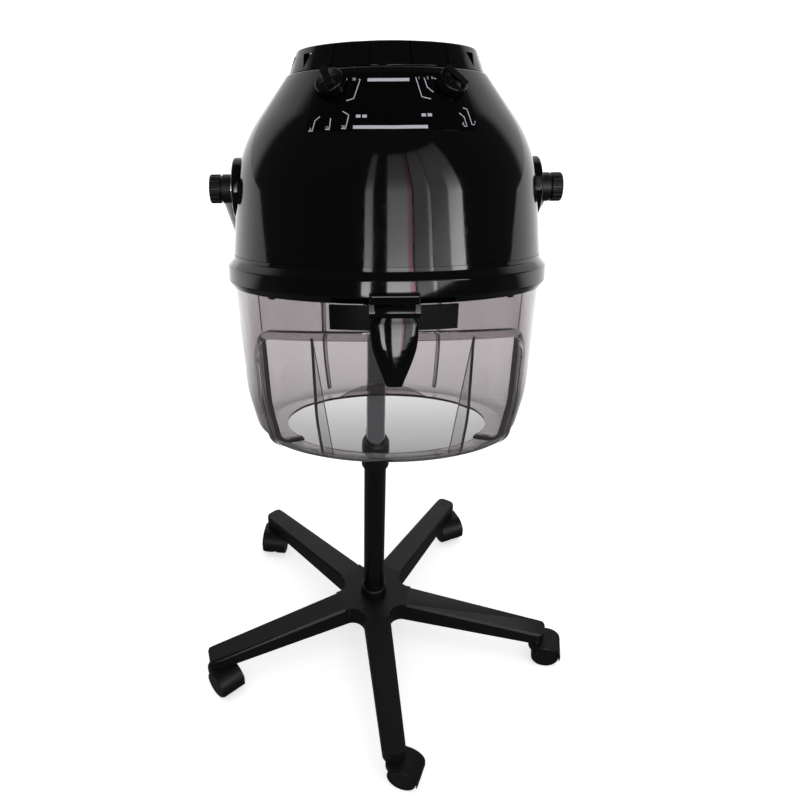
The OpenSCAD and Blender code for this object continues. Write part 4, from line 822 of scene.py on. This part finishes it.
def ringed(name, piece, count, radius_mm, material, place):
    """Three or more copies of a drawn piece round a circle in its place's own plane, as a plain mesh."""
    holder = bpy.data.objects.new(name, bpy.data.meshes.new(name + "_seed"))
    scene.collection.objects.link(holder)
    modifier = holder.modifiers.new("repeat", "NODES")
    modifier.node_group = ring_of
    given = dict(Count=count, Radius=radius_mm / 1000, Piece=piece)
    for socket in ring_of.interface.items_tree:
        if socket.in_out == "INPUT":
            modifier[socket.identifier] = given[socket.name]
    data = plain_mesh(holder)
    data.transform(place)
    data.materials.clear()
    data.materials.append(material)
    made = bpy.data.objects.new(name, data)
    scene.collection.objects.link(made)
    smooth(made)
    return made


metres = hood_place @ Matrix.Scale(1000, 4)
eighth = Matrix.Rotation(math.radians(45), 4, "Z")
screws = [ringed("ear_screws", screw_head, 4, 24.0, steel,
                 metres @ Matrix.Translation((side * 0.1597, 0, 0)) @
                 Matrix.Rotation(math.radians(side * 90), 4, "Y") @ eighth) for side in (-1, 1)]
bpy.data.objects.remove(screw_head)
fit(joined("hood_screws", screws), "hood", "steel")

# Bowl clips: four small black mouldings pressed in under the rim band, a quarter turn apart, which
# hold the bowl's top edge. One is drawn, a block with rounded edges, and repeated like the screws.
shape = bmesh.new()
bmesh.ops.create_cube(shape, size=1.0, matrix=Matrix.Diagonal((0.0042, 0.0085, 0.0022, 1)))
bmesh.ops.bevel(shape, geom=shape.edges[:], offset=0.0007, segments=2, profile=0.5, affect="EDGES")
clip = mesh_object("bowl_clip", [], [], gloss)
shape.to_mesh(clip.data)
shape.free()
clips = ringed("band_clips", clip, 4, 161.6, gloss, metres @ Matrix.Translation((0, 0, -0.0995)) @ eighth)
bpy.data.objects.remove(clip)
fit(clips, "hood", "housing_black")

# Heating wire: fine nichrome wound into a long spring and laid round in three rings in the notches
# of the mica boards.
nichrome = plated("nichrome_wire", "#8d8a86", 0.3, 0.25, 1.5)
coil_r, wire_r, wire_sides, coil_h = 1.45, 0.4, 5, -1.95
verts, faces = [], []
for radius, coils in ((38.7, 64), (57.0, 96), (75.8, 128)):
    turns, first = coils * 12, len(verts)
    path = []
    for k in range(turns):
        a, b = 2 * math.pi * k / turns, 2 * math.pi * coils * k / turns
        r = radius + coil_r * math.cos(b)
        path.append(Vector((r * math.cos(a), r * math.sin(a), coil_h + coil_r * math.sin(b))))
    for k, here in enumerate(path):
        way = (path[(k + 1) % turns] - path[k - 1]).normalized()
        side = way.cross(Vector((0, 0, 1))).normalized()
        rise = side.cross(way)
        this, next_one = first + k * wire_sides, first + (k + 1) % turns * wire_sides
        for j in range(wire_sides):
            c, j_on = 2 * math.pi * j / wire_sides, (j + 1) % wire_sides
            verts.append(hood_place @ (here + wire_r * (side * math.cos(c) + rise * math.sin(c))))
            faces.append((this + j, next_one + j, next_one + j_on, this + j_on))
coil = mesh_object("heating_coils", verts, faces, nichrome)
close_up(coil)
smooth(coil, 60)
fit(coil, "hood", "steel", "heater_rings")
